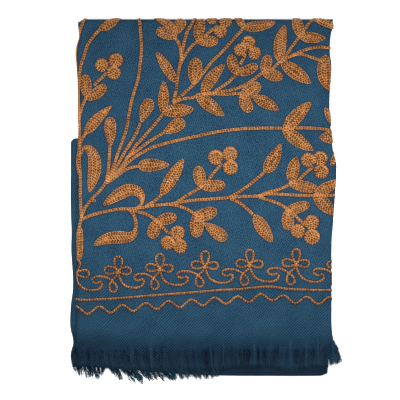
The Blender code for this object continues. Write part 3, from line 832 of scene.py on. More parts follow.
def nested_rows(line, width, shape):
    """Closed rows inside one another round a middle line, each the outline drawn smaller."""
    length = lengths_along(line)[-1]
    peak = shape.start / (shape.start + shape.end)
    fullest = peak**shape.start * (1 - peak) ** shape.end
    part = 0.5 - 0.5 * np.cos(np.linspace(0, math.pi, OUTLINE_POINTS))
    rows = []
    inset = ROW_EDGE
    while 0.5 * width - inset > ROOM_FOR_ROW:
        low = inset * shape.base_inset
        high = length - inset * shape.tip_inset
        middle = read_line(line, low + part * (high - low))
        half = (0.5 * width - inset) * part**shape.start * (1 - part) ** shape.end / fullest
        aside = half[:, None] * left_of(middle)
        outline = np.vstack([middle + aside, (middle - aside)[::-1]])
        rows.append(chain_row(outline, backwards=len(rows) % 2 == 1))
        inset += ROW_PITCH
    if 0.5 * width - inset > ROOM_FOR_CORE:
        rows.append(chain_row(middle[CORE_TRIM:-CORE_TRIM]))
    return rows


def leaf_rows(leaf):
    """Rows of a leaf whose middle line is a bow from base to tip."""
    base = np.array(leaf.base, float)
    chord = np.array(leaf.tip, float) - base
    side = np.array([-chord[1], chord[0]]) / np.linalg.norm(chord)
    share = np.linspace(0, 1, OUTLINE_POINTS)
    middle = base + share[:, None] * chord + (4 * share * (1 - share) * leaf.bow)[:, None] * side
    return nested_rows(middle, leaf.width, SHAPES[leaf.kind])


def hook_rows(hook):
    return nested_rows(smooth_line(hook.middle), hook.width, SHAPES["hook"])


def berry_rows(berry):
    """One row that winds from the berry's edge to its middle."""
    outer = berry.radius - ROW_EDGE
    turns = 1 + outer / ROW_PITCH
    angle = np.linspace(0, 2 * math.pi * turns, int(60 * turns))
    radius = outer - ROW_PITCH * np.maximum(angle / (2 * math.pi) - 0.9, 0)
    line = np.stack([berry.x + radius * np.cos(angle), berry.y + radius * np.sin(angle)], axis=1)
    return [chain_row(line)]


# %% Rows of the border
LOOP_NECK = 0.35
LOOP_FULL = 1.15
BORDER_HALF = 125


def flower_loop(centre, loop):
    """One petal: a teardrop that leaves the flower's middle and comes back to it."""
    angle = np.linspace(0, 2 * math.pi, 40)
    out = 0.5 * loop.length * (1 - np.cos(angle))
    full = LOOP_NECK + (1 - LOOP_NECK) * np.sin(0.5 * angle) ** 2
    aside = 0.5 * loop.width * np.sin(angle) * full * LOOP_FULL
    turn = math.radians(loop.turn)
    x = centre[0] + out * math.cos(turn) - aside * math.sin(turn)
    y = centre[1] + out * math.sin(turn) + aside * math.cos(turn)
    return chain_row(np.stack([x, y], axis=1))


def border_rows():
    rows = []
    for centre in FLOWERS:
        rows += [flower_loop(centre, loop) for loop in LOOPS]
    for here, after in zip(FLOWERS, FLOWERS[1:]):
        scroll = np.array(SCROLL, float)
        share = scroll[:, :1] / SCROLL_PITCH
        scroll[:, 0] *= (after[0] - here[0]) / SCROLL_PITCH
        scroll[:, 1:] += share * (after[1] - here[1])
        rows.append(chain_row(smooth_line(scroll + np.array(here))))
    x = np.linspace(-BORDER_HALF, BORDER_HALF, 700)
    line_y = smooth(LINE, "y", x)
    wave_y = line_y - WAVE_BELOW - WAVE_HEIGHT * np.cos(2 * math.pi * (x - WAVE_LOW_X) / WAVE_PITCH)
    rows.append(chain_row(np.stack([x, line_y], axis=1)))
    rows.append(chain_row(np.stack([x, wave_y], axis=1)))
    return rows


# %% Gather the rows by piece
def gather(rows):
    """All links of some rows as one array of places and one of directions."""
    rows = [row for row in rows if row is not None and len(row.places)]
    return Row(np.vstack([row.places for row in rows]), np.vstack([row.directions for row in rows]))


FIRST_LEAVES = 34
EMBROIDERY = {
    "embroidered_stems": gather([row for points in STEMS for row in stem_rows(points)]),
    "embroidered_leaves": gather([row for leaf in LEAVES[:FIRST_LEAVES] for row in leaf_rows(leaf)]),
    "embroidered_lobes": gather([row for leaf in LEAVES[FIRST_LEAVES:] for row in leaf_rows(leaf)]),
    "embroidered_hooks": gather([row for hook in HOOKS for row in hook_rows(hook)]),
    "embroidered_berries": gather([row for berry in BERRIES for row in berry_rows(berry)]),
    "embroidered_border": gather(border_rows()),
}
for name, links in EMBROIDERY.items():
    print(name, len(links.places), "links")

# %% [markdown]
# ## The front ply
# The front is one fine grid of the flattened cloth, bent by `lay` and given a wall by the Solidify
# modifier. Its creases are placed one by one as soft ridges and troughs. Under each row of stitches the
# cloth stands up a little and the ground between lies lower, and this puckering makes cloth look
# embroidered before one sees the thread.

# %% Creases and puckers
Crease = namedtuple("Crease", "start end height width")
FRONT_CREASES = (
    Crease((-118.5, 56), (-119.5, 8), 0.45, 1.8),
    Crease((-115, 60), (-116.5, 0), -0.15, 2.4),
    Crease((-118, -60), (-119.5, -120), 0.35, 2.2),
    Crease((-121, -112), (-123.5, -140), 0.6, 2.2),
    Crease((-113, -108), (-117, -138), -0.5, 3.5),
    Crease((-96, -126), (-92, -143), 0.5, 4.0),
    Crease((-60, -130), (-63, -144), -0.5, 5.0),
    Crease((-30, -128), (-33, -144), 0.45, 4.0),
    Crease((4, -127), (5, -143), 0.5, 3.0),
    Crease((30, -131), (31, -143), 0.4, 3.0),
    Crease((54, -127), (55, -143), -0.7, 5.5),
    Crease((81, -125), (82, -143), 0.5, 3.0),
    Crease((107, -127), (109, -143), -0.6, 5.0),
    Crease((116, -118), (121, -142), 0.4, 3.0),
    Crease((-95, 150), (-62, 118), -0.30, 13.0),
    Crease((-10, 72), (60, 84), -0.25, 11.0),
    Crease((60, 95), (112, 118), 0.25, 14.0),
    Crease((-100, -75), (40, -68), -0.2, 12.0),
    Crease((30, -112), (110, -104), -0.25, 11.0),
    Crease((-60, -104), (10, -110), 0.25, 12.0),
    Crease((112, 150), (118, 128), -0.35, 5.0),
    Crease((108, 0), (117, -60), 0.25, 6.0),
)


def crease_relief(creases, u, v):
    """Height that the creases add at these places."""
    total = np.zeros(np.shape(u))
    for crease in creases:
        start = np.array(crease.start, float)
        way = np.array(crease.end, float) - start
        length = np.linalg.norm(way)
        along = ((u - start[0]) * way[0] + (v - start[1]) * way[1]) / length**2
        nearest = np.clip(along, 0, 1)
        away = np.hypot(u - start[0] - nearest * way[0], v - start[1] - nearest * way[1])
        total = total + crease.height * np.exp(-((away / crease.width) ** 2))
    return total


# %% Distance to the nearest stitch
all_places = np.vstack([links.places for links in EMBROIDERY.values()])
stitch_tree = KDTree(len(all_places))
for index, place in enumerate(all_places):
    stitch_tree.insert((place[0], place[1], 0.0), index)
stitch_tree.balance()


def stitch_distance(u, v):
    """How far each place is from the middle of the nearest link."""
    found = [stitch_tree.find((a, b, 0.0))[2] for a, b in zip(u.ravel(), v.ravel())]
    return np.array(found).reshape(np.shape(u))


# %% The grid of a folded ply
ROUGH_WIDE = 238
FOLD_CELLS = 7


def flat_grid(ply, across, along):
    """Flattened places of a ply's grid: cells over its flat, more round each fold."""
    shares = np.concatenate([
        -np.linspace(1, 0, FOLD_CELLS, endpoint=False) - 1,
        np.linspace(0, 1, across + 1),
        2 + np.linspace(0, 1, FOLD_CELLS + 1)[1:],
    ])
    rows = np.concatenate([np.linspace(0, 1, along + 1), 1 + np.linspace(0, 1, FOLD_CELLS + 1)[1:]])
    middle_x = np.clip(shares, 0, 1) * ROUGH_WIDE - ROUGH_WIDE / 2
    end_y, end_radius, end_turn = end_fold(ply, middle_x)
    start_y = ply.open_end(middle_x)
    flat_rows = np.minimum(rows, 1)[:, None]
    on_cloth = start_y + flat_rows * (end_y - start_y)
    v = on_cloth + ply.towards * np.maximum(rows - 1, 0)[:, None] * end_radius * end_turn
    (left_x, left_radius, left_turn), (right_x, right_radius, right_turn) = side_folds(ply, on_cloth)
    u = left_x + np.clip(shares, 0, 1) * (right_x - left_x)
    u = u - np.clip(-1 - shares, 0, 1) * left_radius * left_turn
    u = u + np.clip(shares - 2, 0, 1) * right_radius * right_turn
    return u, v


def grid_faces(rows, columns, flipped):
    """Faces of a grid of rows and columns of places."""
    first = (np.arange(rows - 1)[:, None] * columns + np.arange(columns - 1)).ravel()
    faces = np.stack([first, first + 1, first + columns + 1, first + columns], axis=1)
    return faces[:, ::-1] if flipped else faces


def add_wall(piece, thickness):
    """Gives an open sheet a wall that grows inwards from its outer face."""
    wall = piece.modifiers.new("wall", "SOLIDIFY")
    wall.thickness = thickness * MM
    wall.offset = -1.0


def cloth_shell(name, ply, u, v, relief, material, node, numbers, thickness):
    """A ply as a shell: its outer face from the grid, its wall from Solidify."""
    places = lay_raised(ply, u, v, relief)[0]
    faces = grid_faces(u.shape[0], u.shape[1], ply.towards < 0)
    flat = np.stack([u.ravel(), v.ravel()], axis=1)
    piece = make_piece(name, places.reshape(-1, 3), faces, material, node, numbers, flat)
    add_wall(piece, thickness)
    return piece


# %% Make the front
CLOTH_THICK = 0.9
PUCKER = 0.28
PUCKER_REACH = 2.4
# Reach of the painted shade under the stitches, and the width of its soft edge.
STITCH_SHADOW_REACH = 1.9
STITCH_SHADOW_EDGE = 0.9
LOOSENED_FROM = 1.5
LOOSENED_DEEP = 13.0
LOOSENED_POWER = 1.5


def front_relief(u, v, distance):
    near = np.clip(1 - distance / PUCKER_REACH, 0, 1)
    return PUCKER * near * near * (3 - 2 * near) + crease_relief(FRONT_CREASES, u, v)


front_u, front_v = flat_grid(FRONT, across=150, along=196)
front_distance = stitch_distance(front_u, front_v)
hem_share = np.clip(1 - (front_v - hem_y(front_u) - LOOSENED_FROM) / LOOSENED_DEEP, 0, 1)
front_cloth = cloth_shell(
    "front_cloth",
    FRONT,
    front_u,
    front_v,
    front_relief(front_u, front_v, front_distance),
    FRONT_TWILL,
    "front_panel",
    {
        # Painted shade under and around each link of stitching.
        "stitch_shadow": np.clip((STITCH_SHADOW_REACH - front_distance) / STITCH_SHADOW_EDGE, 0, 1).ravel(),
        "loosened": (hem_share**LOOSENED_POWER).ravel(),
    },
    CLOTH_THICK,
)
print("front grid", front_u.shape)

# %% [markdown]
# ## One link of chain stitch, many times
# A link is a small loop: two bent strands that leave one point, bulge apart and lean on each other
# again under the next link. It is modelled once, and numpy then turns and places it at every step of
# every row. Joined meshes stay light to handle, where thousands of objects would not.

# %% The link
Station = namedtuple("Station", "along aside height radius tone")
# The tone column paints light on the link, bright at both ends where the strands meet; CORE_SHADE paints
# shade on the loop's inner faces.
LINK = (
    Station(-0.12, 0.12, 0.30, 0.30, 0.8),
    Station(0.24, 0.55, 0.36, 0.31, 0.3),
    Station(0.66, 0.70, 0.50, 0.34, 0.5),
    Station(1.03, 0.34, 0.56, 0.36, 1.0),
)
STRAND_SIDES = 5
CORE_SHADE = -1.5
LINK_MIDDLE = 0.45
LINK_SUNK = 0.05
SWAY = 0.10


def link_template():
    """Places of one link: along, aside and out, its faces, and its tones, with painted shade inside the
    loop.
    """
    places = []
    faces = []
    tones = []
    for side in (1, -1):
        first = len(places)
        for station in LINK:
            shade = CORE_SHADE if 0 < station.along < 1 else 0.0
            for k in range(STRAND_SIDES):
                angle = 2 * math.pi * k / STRAND_SIDES
                aside = side * station.aside + station.radius * math.cos(angle)
                places.append((station.along, aside, station.height + station.radius * math.sin(angle)))
                tones.append(station.tone + (shade if side * math.cos(angle) < -0.3 else 0.0))
        for ring in range(len(LINK) - 1):
            for k in range(STRAND_SIDES):
                after = (k + 1) % STRAND_SIDES
                a = first + ring * STRAND_SIDES
                b = a + STRAND_SIDES
                faces += [(a + k, b + k, b + after), (a + k, b + after, a + after)]
        last = first + (len(LINK) - 1) * STRAND_SIDES
        for k in range(1, STRAND_SIDES - 1):
            faces.append((first, first + k, first + k + 1))
            faces.append((last, last + k + 1, last + k))
    return np.array(places), np.array(faces), np.array(tones)


# %% Sew the rows
LINK_PLACES, LINK_FACES, LINK_TONES = link_template()
sewing_dice = np.random.default_rng(5)


def on_ply(ply, links):
    """The links that lie on the ply, without those past its folded edges."""
    kept = is_on(ply, *links.places.T)
    return Row(links.places[kept], links.directions[kept])


def sew(name, links, slim):
    """A joined mesh of all the links of one piece of embroidery, made slimmer by a factor."""
    links = on_ply(FRONT, links)
    count = len(links.places)
    u, v = links.places.T
    base_lift = PUCKER + crease_relief(FRONT_CREASES, u, v) - LINK_SUNK
    place, across, along, out = lay_raised(FRONT, u, v, base_lift)
    ahead = unit(across * links.directions[:, :1] + along * links.directions[:, 1:])
    aside = np.cross(out, ahead)
    sway = sewing_dice.normal(0, SWAY, count)[:, None]
    ahead, aside = ahead + sway * aside, aside - sway * ahead
    length = LINK_PITCH * sewing_dice.uniform(0.92, 1.08, count)
    width = slim * sewing_dice.uniform(0.90, 1.10, count)
    height = slim * sewing_dice.uniform(0.85, 1.15, count)
    local = LINK_PLACES[None, :, :]
    places = (
        place[:, None, :]
        + ((local[..., 0] - LINK_MIDDLE) * length[:, None])[..., None] * ahead[:, None, :]
        + (local[..., 1] * width[:, None])[..., None] * aside[:, None, :]
        + (local[..., 2] * height[:, None])[..., None] * out[:, None, :]
    )
    faces = LINK_FACES[None] + (np.arange(count) * len(LINK_PLACES))[:, None, None]
    tones = (sewing_dice.uniform(0.0, 0.8, count)[:, None] + LINK_TONES).ravel()
    piece = make_piece(
        name,
        places.reshape(-1, 3),
        faces.reshape(-1, 3),
        COPPER,
        numbers={"tone": tones},
    )
    print(name, count * len(LINK_FACES), "triangles")
    return piece


SLIM = {"embroidered_border": 0.86, "embroidered_stems": 0.84}
embroidery = [sew(name, links, SLIM.get(name, 1.0)) for name, links in EMBROIDERY.items()]

# %% [markdown]
# ## The plain flap
# Below the front lies one more folded ply. Only its left edge, a sliver at the right and the bottom
# fold show, so its grid is coarser. The left edge is rolled and a little wavy, which the creases give.

# %% Make the flap
FLAP_CREASES = (
    Crease((-126, 40), (-126.5, -20), 0.30, 1.2),
    Crease((-124, 20), (-124, -60), -0.35, 1.0),
    Crease((-127, -84), (-125, -112), 0.35, 1.3),
    Crease((-126, -120), (-123, -136), -0.4, 1.6),
    Crease((-127.5, -140), (-124, -150), 0.4, 1.6),
    Crease((30, -166), (90, -166), 0.25, 1.5),
    Crease((60, -160), (110, -161), -0.3, 2.0),
)
UNDER_FRINGE_FROM = 14
UNDER_FRINGE_EDGE = 8
UNDER_FRINGE_LOOSENED = 0.75
flap_u, flap_v = flat_grid(FLAP, across=100, along=90)
above_fold = flap_v - smooth(FLAP_ENDS, "y", flap_u)
under_fringe = np.clip(1 - (above_fold - UNDER_FRINGE_FROM) / UNDER_FRINGE_EDGE, 0, 1)
flap_cloth = cloth_shell(
    "flap_cloth",
    FLAP,
    flap_u,
    flap_v,
    crease_relief(FLAP_CREASES, flap_u, flap_v),
    PLAIN_TWILL,
    "under_flap",
    {"stitch_shadow": np.zeros(flap_u.size), "loosened": (UNDER_FRINGE_LOOSENED * under_fringe).ravel()},
    CLOTH_THICK,
)
print("flap grid", flap_u.shape)

# %% [markdown]
# ## The ply on the table
# The packet rests on one flat ply. It is a grid between the sides of the folds above it, a touch
# smaller than they are, with its rim eased down to the table. Only someone who lifts the packet sees it.

# %% Make the back
BACK_LEFT = -122
BACK_TOP_WIDE = 240
BACK_WIDE = 250
BACK_LONG = 338
FLAP_JOINS_Y = 54
FLAP_JOINS_OVER = 7
BACK_INSET = 1.2
BACK_CELLS = 3.5
BACK_THICK = 0.8
BACK_EASE_WIDE = 3
BACK_EASE_DEEP = 0.4


def bare_cloth(count):
    """Numbers for a ply with no stitches and no loosened hem."""
    return {"stitch_shadow": np.zeros(count), "loosened": np.zeros(count)}


def side_between(column, y, above):
    """One side, on the flap's where above is 0 and on the front's where it is 1."""
    return above * smooth(FRONT_SIDES, column, y) + (1 - above) * smooth(FLAP_SIDES, column, y)


def back_sides(y):
    """Left and right rim of the back ply."""
    above = np.clip((y - FLAP_JOINS_Y) / FLAP_JOINS_OVER, 0, 1)
    return side_between("left", y, above) + BACK_INSET, side_between("right", y, above) - BACK_INSET


def back_grid():
    """Places of the back ply, and how far each is from its rim."""
    across = np.linspace(0, 1, int(BACK_WIDE / BACK_CELLS))
    along = np.linspace(0, 1, int(BACK_LONG / BACK_CELLS))
    rough_x = BACK_LEFT + BACK_TOP_WIDE * across
    low = smooth(FLAP_ENDS, "y", rough_x) + BACK_INSET
    high = top_fold(rough_x) - BACK_INSET
    v = low + along[:, None] * (high - low)
    left, right = back_sides(v)
    u = left + across * (right - left)
    rim_x = np.minimum(across, 1 - across) * BACK_WIDE
    rim_y = np.minimum(along, 1 - along) * BACK_LONG
    return u, v, np.minimum(rim_x, rim_y[:, None])


back_u, back_v, back_rim = back_grid()
back_top = BACK_PLY - BACK_EASE_DEEP * np.clip(1 - back_rim / BACK_EASE_WIDE, 0, 1)
back_places = np.stack([back_u, back_v, back_top], axis=-1).reshape(-1, 3)
back_cloth = make_piece(
    "back_cloth",
    back_places,
    grid_faces(back_u.shape[0], back_u.shape[1], False),
    PLAIN_TWILL,
    "back_panel",
    bare_cloth(back_u.size),
    np.stack([back_u.ravel(), back_v.ravel()], axis=1),
)
add_wall(back_cloth, BACK_THICK)
print("back grid", back_u.shape)

# %% [markdown]
# ## The hidden plies
# Between the shells lie about twenty more plies. Nobody sees their faces, but their folded edges show
# from the side as a stack of soft rounds, so the stack is one closed form whose rim bulges once for
# each fold, a little more here and a little less there.

# %% Make the inner folds
LOWER_FOLDS = 5
UPPER_FOLDS = 3
ROUND_STEPS = 4
ROUND_DEEP = 1.1
ROUND_FULL = 0.72
ROUND_DRIFT = 0.151465
PLY_ROOM = 1.35
STACK_INSET = 3.4
PILE_WIDENS_Y = 38
PILE_WIDENS_OVER = 25
FLAP_TOP_Y = 62
PILE_RISES_Y = 60.5
PILE_RISES_OVER = 1.5
fold_dice = np.random.default_rng(9)


def band(below, above):
    """Faces between two closed rings of places."""
    return np.stack([below, above, np.roll(above, -1), np.roll(below, -1)], axis=1)


def pile(sides, ends, low, high, cells, folds):
    """A closed pile of folds between two surfaces, with a rim of soft rounds."""
    across_cells, along_cells = cells
    across = np.linspace(0, 1, across_cells + 1)
    along = np.linspace(0, 1, along_cells + 1)
    start_y, end_y = ends

    def ring_places(a, b, inset):
        """Places of a ring or grid by its shares across and along, pulled in by an inset."""
        y = start_y - inset + b * (end_y + inset - start_y + inset)
        left, right = sides(y)
        return left + inset + a * (right - left - 2 * inset), y

    a, b = np.meshgrid(across, along)
    count = a.size
    top_x, top_y = ring_places(a.ravel(), b.ravel(), ROUND_DEEP)
    places = [np.stack([top_x, top_y, face(top_x, top_y)], axis=1) for face in (low, high)]
    index = np.arange(count).reshape(a.shape)
    ring = np.concatenate([index[0, :-1], index[:-1, -1], index[-1, :0:-1], index[:0:-1, 0]])
    faces = [grid_faces(*a.shape, False), grid_faces(*a.shape, True) + count]
    ring_a, ring_b = a.ravel()[ring], b.ravel()[ring]
    below = ring
    drift = fold_dice.uniform(0, 2 * math.pi, (folds, 3))
    around = np.linspace(0, 2 * math.pi, len(ring), endpoint=False)
    first_free = 2 * count
    for step in range(1, folds * ROUND_STEPS):
        fold, part = divmod(step, ROUND_STEPS)
        bulge = math.sin(math.pi * part / ROUND_STEPS)
        shift = sum(np.sin(k * 3 * around + drift[fold, k - 1]) / k for k in (1, 2, 3))
        inset = ROUND_DEEP * (1 - bulge * (ROUND_FULL + ROUND_DRIFT * shift))
        x, y = ring_places(ring_a, ring_b, inset)
        level = step / (folds * ROUND_STEPS)
        places.append(np.stack([x, y, low(x, y) + level * (high(x, y) - low(x, y))], axis=1))
        here = first_free + np.arange(len(ring))
        first_free += len(ring)
        faces.append(band(below, here))
        below = here
    faces.append(band(below, ring + count))
    places = np.vstack(places)
    flat = places[:, :2] + places[:, 2:] * np.array([0.0, 1.0])
    return places, np.vstack(faces), flat


def under_flap_sides(y):
    above = np.clip((y - PILE_WIDENS_Y) / PILE_WIDENS_OVER, 0, 1)
    right = smooth(FRONT_SIDES, "right", y) - 1
    right = np.where(y < FLAP_TOP_Y, np.minimum(right, smooth(FLAP_SIDES, "right", y)), right)
    return side_between("left", y, above) + STACK_INSET + above, right - STACK_INSET


def front_sides(y):
    return smooth(FRONT_SIDES, "left", y) + STACK_INSET, smooth(FRONT_SIDES, "right", y) - STACK_INSET


def pile_top(x, y):
    """Under the flap the pile ends below it, and above the flap it goes on up to the front."""
    past_flap = np.clip((y - PILE_RISES_Y) / PILE_RISES_OVER, 0, 1)
    return (1 - past_flap) * (flap_height(x, y) - PLY_ROOM) + past_flap * (front_height(x, y) - PLY_ROOM)


piles = (
    pile(
        under_flap_sides,
        (168.0, -156.0),
        lambda x, y: table_height(x, y) + GAP,
        pile_top,
        (44, 110),
        LOWER_FOLDS,
    ),
    pile(
        front_sides,
        (58.5, -136.5),
        lambda x, y: flap_height(x, y) + GAP,
        lambda x, y: front_height(x, y) - PLY_ROOM,
        (44, 66),
        UPPER_FOLDS,
    ),
)
pile_places = np.vstack([one[0] for one in piles])
pile_faces = np.vstack([piles[0][1], piles[1][1] + len(piles[0][0])])
pile_flat = np.vstack([one[2] for one in piles])
inner_folds = make_piece(
    "inner_folds",
    pile_places,
    pile_faces,
    PLAIN_TWILL,
    "inner_layers",
    bare_cloth(len(pile_places)),
    pile_flat,
)
print("inner folds", len(pile_faces), "faces")

# %% [markdown]
# ## The fringe
# The hem is frayed: its crosswise threads are drawn out and the lengthwise yarns hang free. They cling
# together in small locks, lean a little to the right and end unevenly. They stand closer at the right
# end of their stretch, and here and there a tuft of them starts higher and catches the light, which is
# painted on as a lighter colour, a painted highlight. Each yarn is a thin three-sided tube along its own
# line, from the last woven rows over the hem and down to what it lies on.

# %% Reach of the yarns
Reach = namedtuple("Reach", "x tip lean")
UPPER_REACH = (
    Reach(-128, -157.0, -1.0),
    Reach(-100, -159.0, 1.5),
    Reach(-60, -162.0, 2.5),
    Reach(-10, -162.0, 2.5),
    Reach(13, -161.0, 1.0),
    Reach(40, -159.0, 0.5),
    Reach(70, -160.0, 0.8),
    Reach(80, -164.0, 1.0),
    Reach(90, -160.0, 0.5),
    Reach(108, -159.5, 1.0),
    Reach(118, -157.0, 3.0),
    Reach(127, -153.0, 5.5),
)
LOWER_REACH = (
    Reach(-129, -166.0, 4.5),
    Reach(-124, -168.5, 3.5),
    Reach(-112, -170.5, 3.5),
    Reach(-101, -171.5, 1.5),
    Reach(-96, -160.5, 1.0),
    Reach(-90, -170.5, 6.0),
    Reach(-80, -174.0, 12.0),
    Reach(-60, -174.2, 12.0),
    Reach(-40, -172.8, 10.0),
    Reach(-20, -170.5, 8.0),
    Reach(-3, -170.5, 5.0),
    Reach(9, -167.5, 3.5),
)
Tuft = namedtuple("Tuft", "x wide strength")
TUFTS = (
    Tuft(-97.0, 1.2, 0.3),
    Tuft(-71.0, 0.7, 0.4),
    Tuft(-52.0, 1.5, 0.3),
    Tuft(-28.0, 0.7, 0.4),
    Tuft(-14.0, 1.0, 0.3),
    Tuft(5.0, 0.9, 0.8),
    Tuft(17.0, 0.6, 0.4),
    Tuft(30.0, 0.6, 0.6),
    Tuft(46.0, 1.4, 0.4),
    Tuft(60.0, 0.6, 0.3),
    Tuft(80.5, 1.6, 0.8),
    Tuft(96.0, 0.7, 0.4),
    Tuft(107.0, 0.9, 0.5),
    Tuft(121.0, 2.5, 0.5),
)
YARN_STEPS = 8
YARN_RADIUS = 0.30
YARN_BEND = 2.2
LOCK_PITCH = 3.4
LOCKS = 400
STRAND_PITCH = 1.3
STRANDS = 500
STRAND_TONE = 0.42
YARN_TONE = 0.30
YARN_TONE_MIDDLE = -0.08
TIP_RARITY = 1.2
TIP_FADE = 3.5
CORNER_SPAN = 10
CORNER_PART = 16
PAST_HEM_OVER = 7.0
ABOVE_FRONT = 0.12
ABOVE_FLAP = 0.35
ABOVE_TABLE = 0.45
FLAP_RIM = 0.8
fringe_dice = np.random.default_rng(21)


def tuft_share(x):
    """How much each yarn belongs to one of the tufts that stand out of the hem, lit by a painted
    highlight.
    """
    return np.max([tuft.strength * np.exp(-(((x - tuft.x) / tuft.wide) ** 2)) for tuft in TUFTS], axis=0)


def yarn_lines(count, span, start, reach, pile_depth, spread_y, clump, short):
    """Lines of single yarns. start gives how far above the hem each one leaves the cloth."""
    corner = fringe_dice.uniform(span[1] - CORNER_SPAN, span[1], count // CORNER_PART)
    x = np.sort(np.concatenate([fringe_dice.uniform(span[0], span[1], count - len(corner)), corner]))
    lock = np.floor((x + fringe_dice.normal(0, 0.5, count)) / LOCK_PITCH)
    lock_dice = np.random.default_rng(3).uniform(-1, 1, (LOCKS, 3))
    lock_dice = lock_dice[(lock + LOCKS / 2).astype(int) % LOCKS]
    lock_x = (lock + 0.5) * LOCK_PITCH
    root_y = hem_y(x) + start(x)
    ragged = fringe_dice.uniform(-1, 1, count) + fringe_dice.exponential(short, count)
    tip_y = smooth(reach, "tip", x) + spread_y * (0.5 * lock_dice[:, 0] + ragged)
    lean = smooth(reach, "lean", x) * (1 + 0.35 * lock_dice[:, 1]) + fringe_dice.normal(0, 0.9, count)
    tip_x = x + clump * (lock_x - x) + lean
    bow = fringe_dice.normal(0, 0.5, count) + 0.5 * lock_dice[:, 2]
    share = np.linspace(0, 1, YARN_STEPS)
    line_x = x[:, None] + (tip_x - x)[:, None] * share**YARN_BEND + bow[:, None] * np.sin(math.pi * share)
    line_y = root_y[:, None] + (tip_y - root_y)[:, None] * share
    depth = fringe_dice.uniform(0.15, 1.0, count) * pile_depth
    return line_x, line_y, depth[:, None] * np.ones(YARN_STEPS)


def yarn_height(x, y, depth, drop):
    """Height of a yarn: over the hem it lies on the front, then on the flap, then it falls away."""
    past_hem = np.clip((hem_y(x) - y + 1.0) / PAST_HEM_OVER, 0, 1)
    flap_end = smooth(FLAP_ENDS, "y", x) + FLAP_RIM
    on_flap = flap_height(x, np.maximum(y, flap_end)) + ABOVE_FLAP + depth
    on_front = front_height(x, y) + crease_relief(FRONT_CREASES, x, y) + ABOVE_FRONT
    ease = past_hem * past_hem * (3 - 2 * past_hem)
    height = (1 - ease) * on_front + ease * on_flap
    return np.maximum(height - drop * np.maximum(flap_end - y, 0), ABOVE_TABLE)


def yarn_mesh(name, lines, node):
    """Thin tubes of three sides along the lines, thinner towards their tips."""
    count, steps, _ = lines.shape
    along = unit(np.gradient(lines, axis=1))
    aside = unit(np.cross(along, np.array([0.0, 0.0, 1.0])))
    out = np.cross(aside, along)
    share = np.linspace(0, 1, steps)
    thin = YARN_RADIUS * (np.minimum(0.25 + 4 * share, 1) * (1 - 0.6 * share**2))[None, :, None]
    thin = thin * fringe_dice.uniform(0.75, 1.25, count)[:, None, None]
    rings = []
    for k in range(3):
        angle = math.pi / 2 + 2 * math.pi * k / 3
        rings.append(lines + thin * (math.cos(angle) * aside + math.sin(angle) * out))
    places = np.stack(rings, axis=2).reshape(-1, 3)
    faces = []
    for step in range(steps - 1):
        for k in range(3):
            a = step * 3 + k
            b = step * 3 + (k + 1) % 3
            faces += [(a, b, b + 3), (a, b + 3, a + 3)]
    last = (steps - 1) * 3
    faces += [(0, 2, 1), (last, last + 1, last + 2)]
    faces = np.array(faces)[None] + (np.arange(count) * steps * 3)[:, None, None]
    strand = np.floor(lines[:, 0, 0] / STRAND_PITCH).astype(int) % STRANDS
    strand_tones = np.random.default_rng(8).normal(0.0, STRAND_TONE, STRANDS)[strand]
    yarn_tones = fringe_dice.normal(YARN_TONE_MIDDLE, YARN_TONE, count)
    tones = np.repeat(yarn_tones + strand_tones, steps * 3)
    tip_light = fringe_dice.uniform(0, 1, (count, 1)) ** TIP_RARITY * share**TIP_FADE
    tips = np.repeat(tip_light, 3, axis=1).ravel()
    # Share of the tufts' painted highlight for each yarn.
    tufts = np.repeat(tuft_share(lines[:, 0, 0]) * fringe_dice.uniform(0.0, 1.2, count), steps * 3)
    numbers = {"tone": tones, "tip": tips, "tuft": tufts}
    piece = make_piece(name, places, faces.reshape(-1, 3), YARN, node, numbers)
    print(name, count, "yarns,", faces.shape[1] * count, "triangles")
    return piece


# %% Make both fringes
START_ABOVE_HEM = 3
START_SPREAD = 5
TUFT_START = 8
COVERED_X = 14
COVERED_LIFT = 0.9
LOWER_CAP_Y = -160
LOWER_CAP = 1.0


def upper_start(x):
    """The front's own yarns start in its last woven rows, and higher in a tuft."""
    spread = fringe_dice.uniform(-1.0, 1.0, len(x)) ** 3 * START_SPREAD
    return spread + START_ABOVE_HEM + TUFT_START * tuft_share(x)


def lower_start(x):
    """The yarns of the ply below start hidden, just under the hem."""
    return np.full(len(x), -1.0)


upper_x, upper_y, upper_depth = yarn_lines(
    2100, (-127.0, 126.4), upper_start, UPPER_REACH, pile_depth=1.2, spread_y=2.0, clump=0.2, short=0.5
)
over_lower = np.where(upper_x < COVERED_X, COVERED_LIFT, 0.0)
upper_z = yarn_height(upper_x, upper_y, upper_depth + over_lower, drop=0.2)
upper_lines = np.stack([upper_x, upper_y, upper_z], axis=2)
upper_fringe = yarn_mesh("upper_fringe", upper_lines, "fringe_upper")
lower_x, lower_y, lower_depth = yarn_lines(
    1290, (-128.3, 9.0), lower_start, LOWER_REACH, pile_depth=0.8, spread_y=2.3, clump=0.22, short=1.5
)
lower_z = yarn_height(lower_x, lower_y, lower_depth, drop=0.75)
lower_cap = flap_height(lower_x, np.maximum(lower_y, LOWER_CAP_Y)) + LOWER_CAP
lower_z = np.minimum(lower_z, np.maximum(lower_cap, ABOVE_TABLE))
lower_lines = np.stack([lower_x, lower_y, lower_z], axis=2)
lower_fringe = yarn_mesh("lower_fringe", lower_lines, "fringe_lower")

# %% [markdown]

# %% [markdown]
# ## Floor, light and camera
# The packet lies on a plain, nearly white floor and is seen from straight above through a long lens, so
# its sides hardly show. One wide lamp hangs over its middle, and its light falls off a little towards
# the packet's ends. Two weak lamps fill in from the sides, and a low one beyond the top fold lights that
# rim. The floor glows a little, which keeps it white right up to the packet's edge.

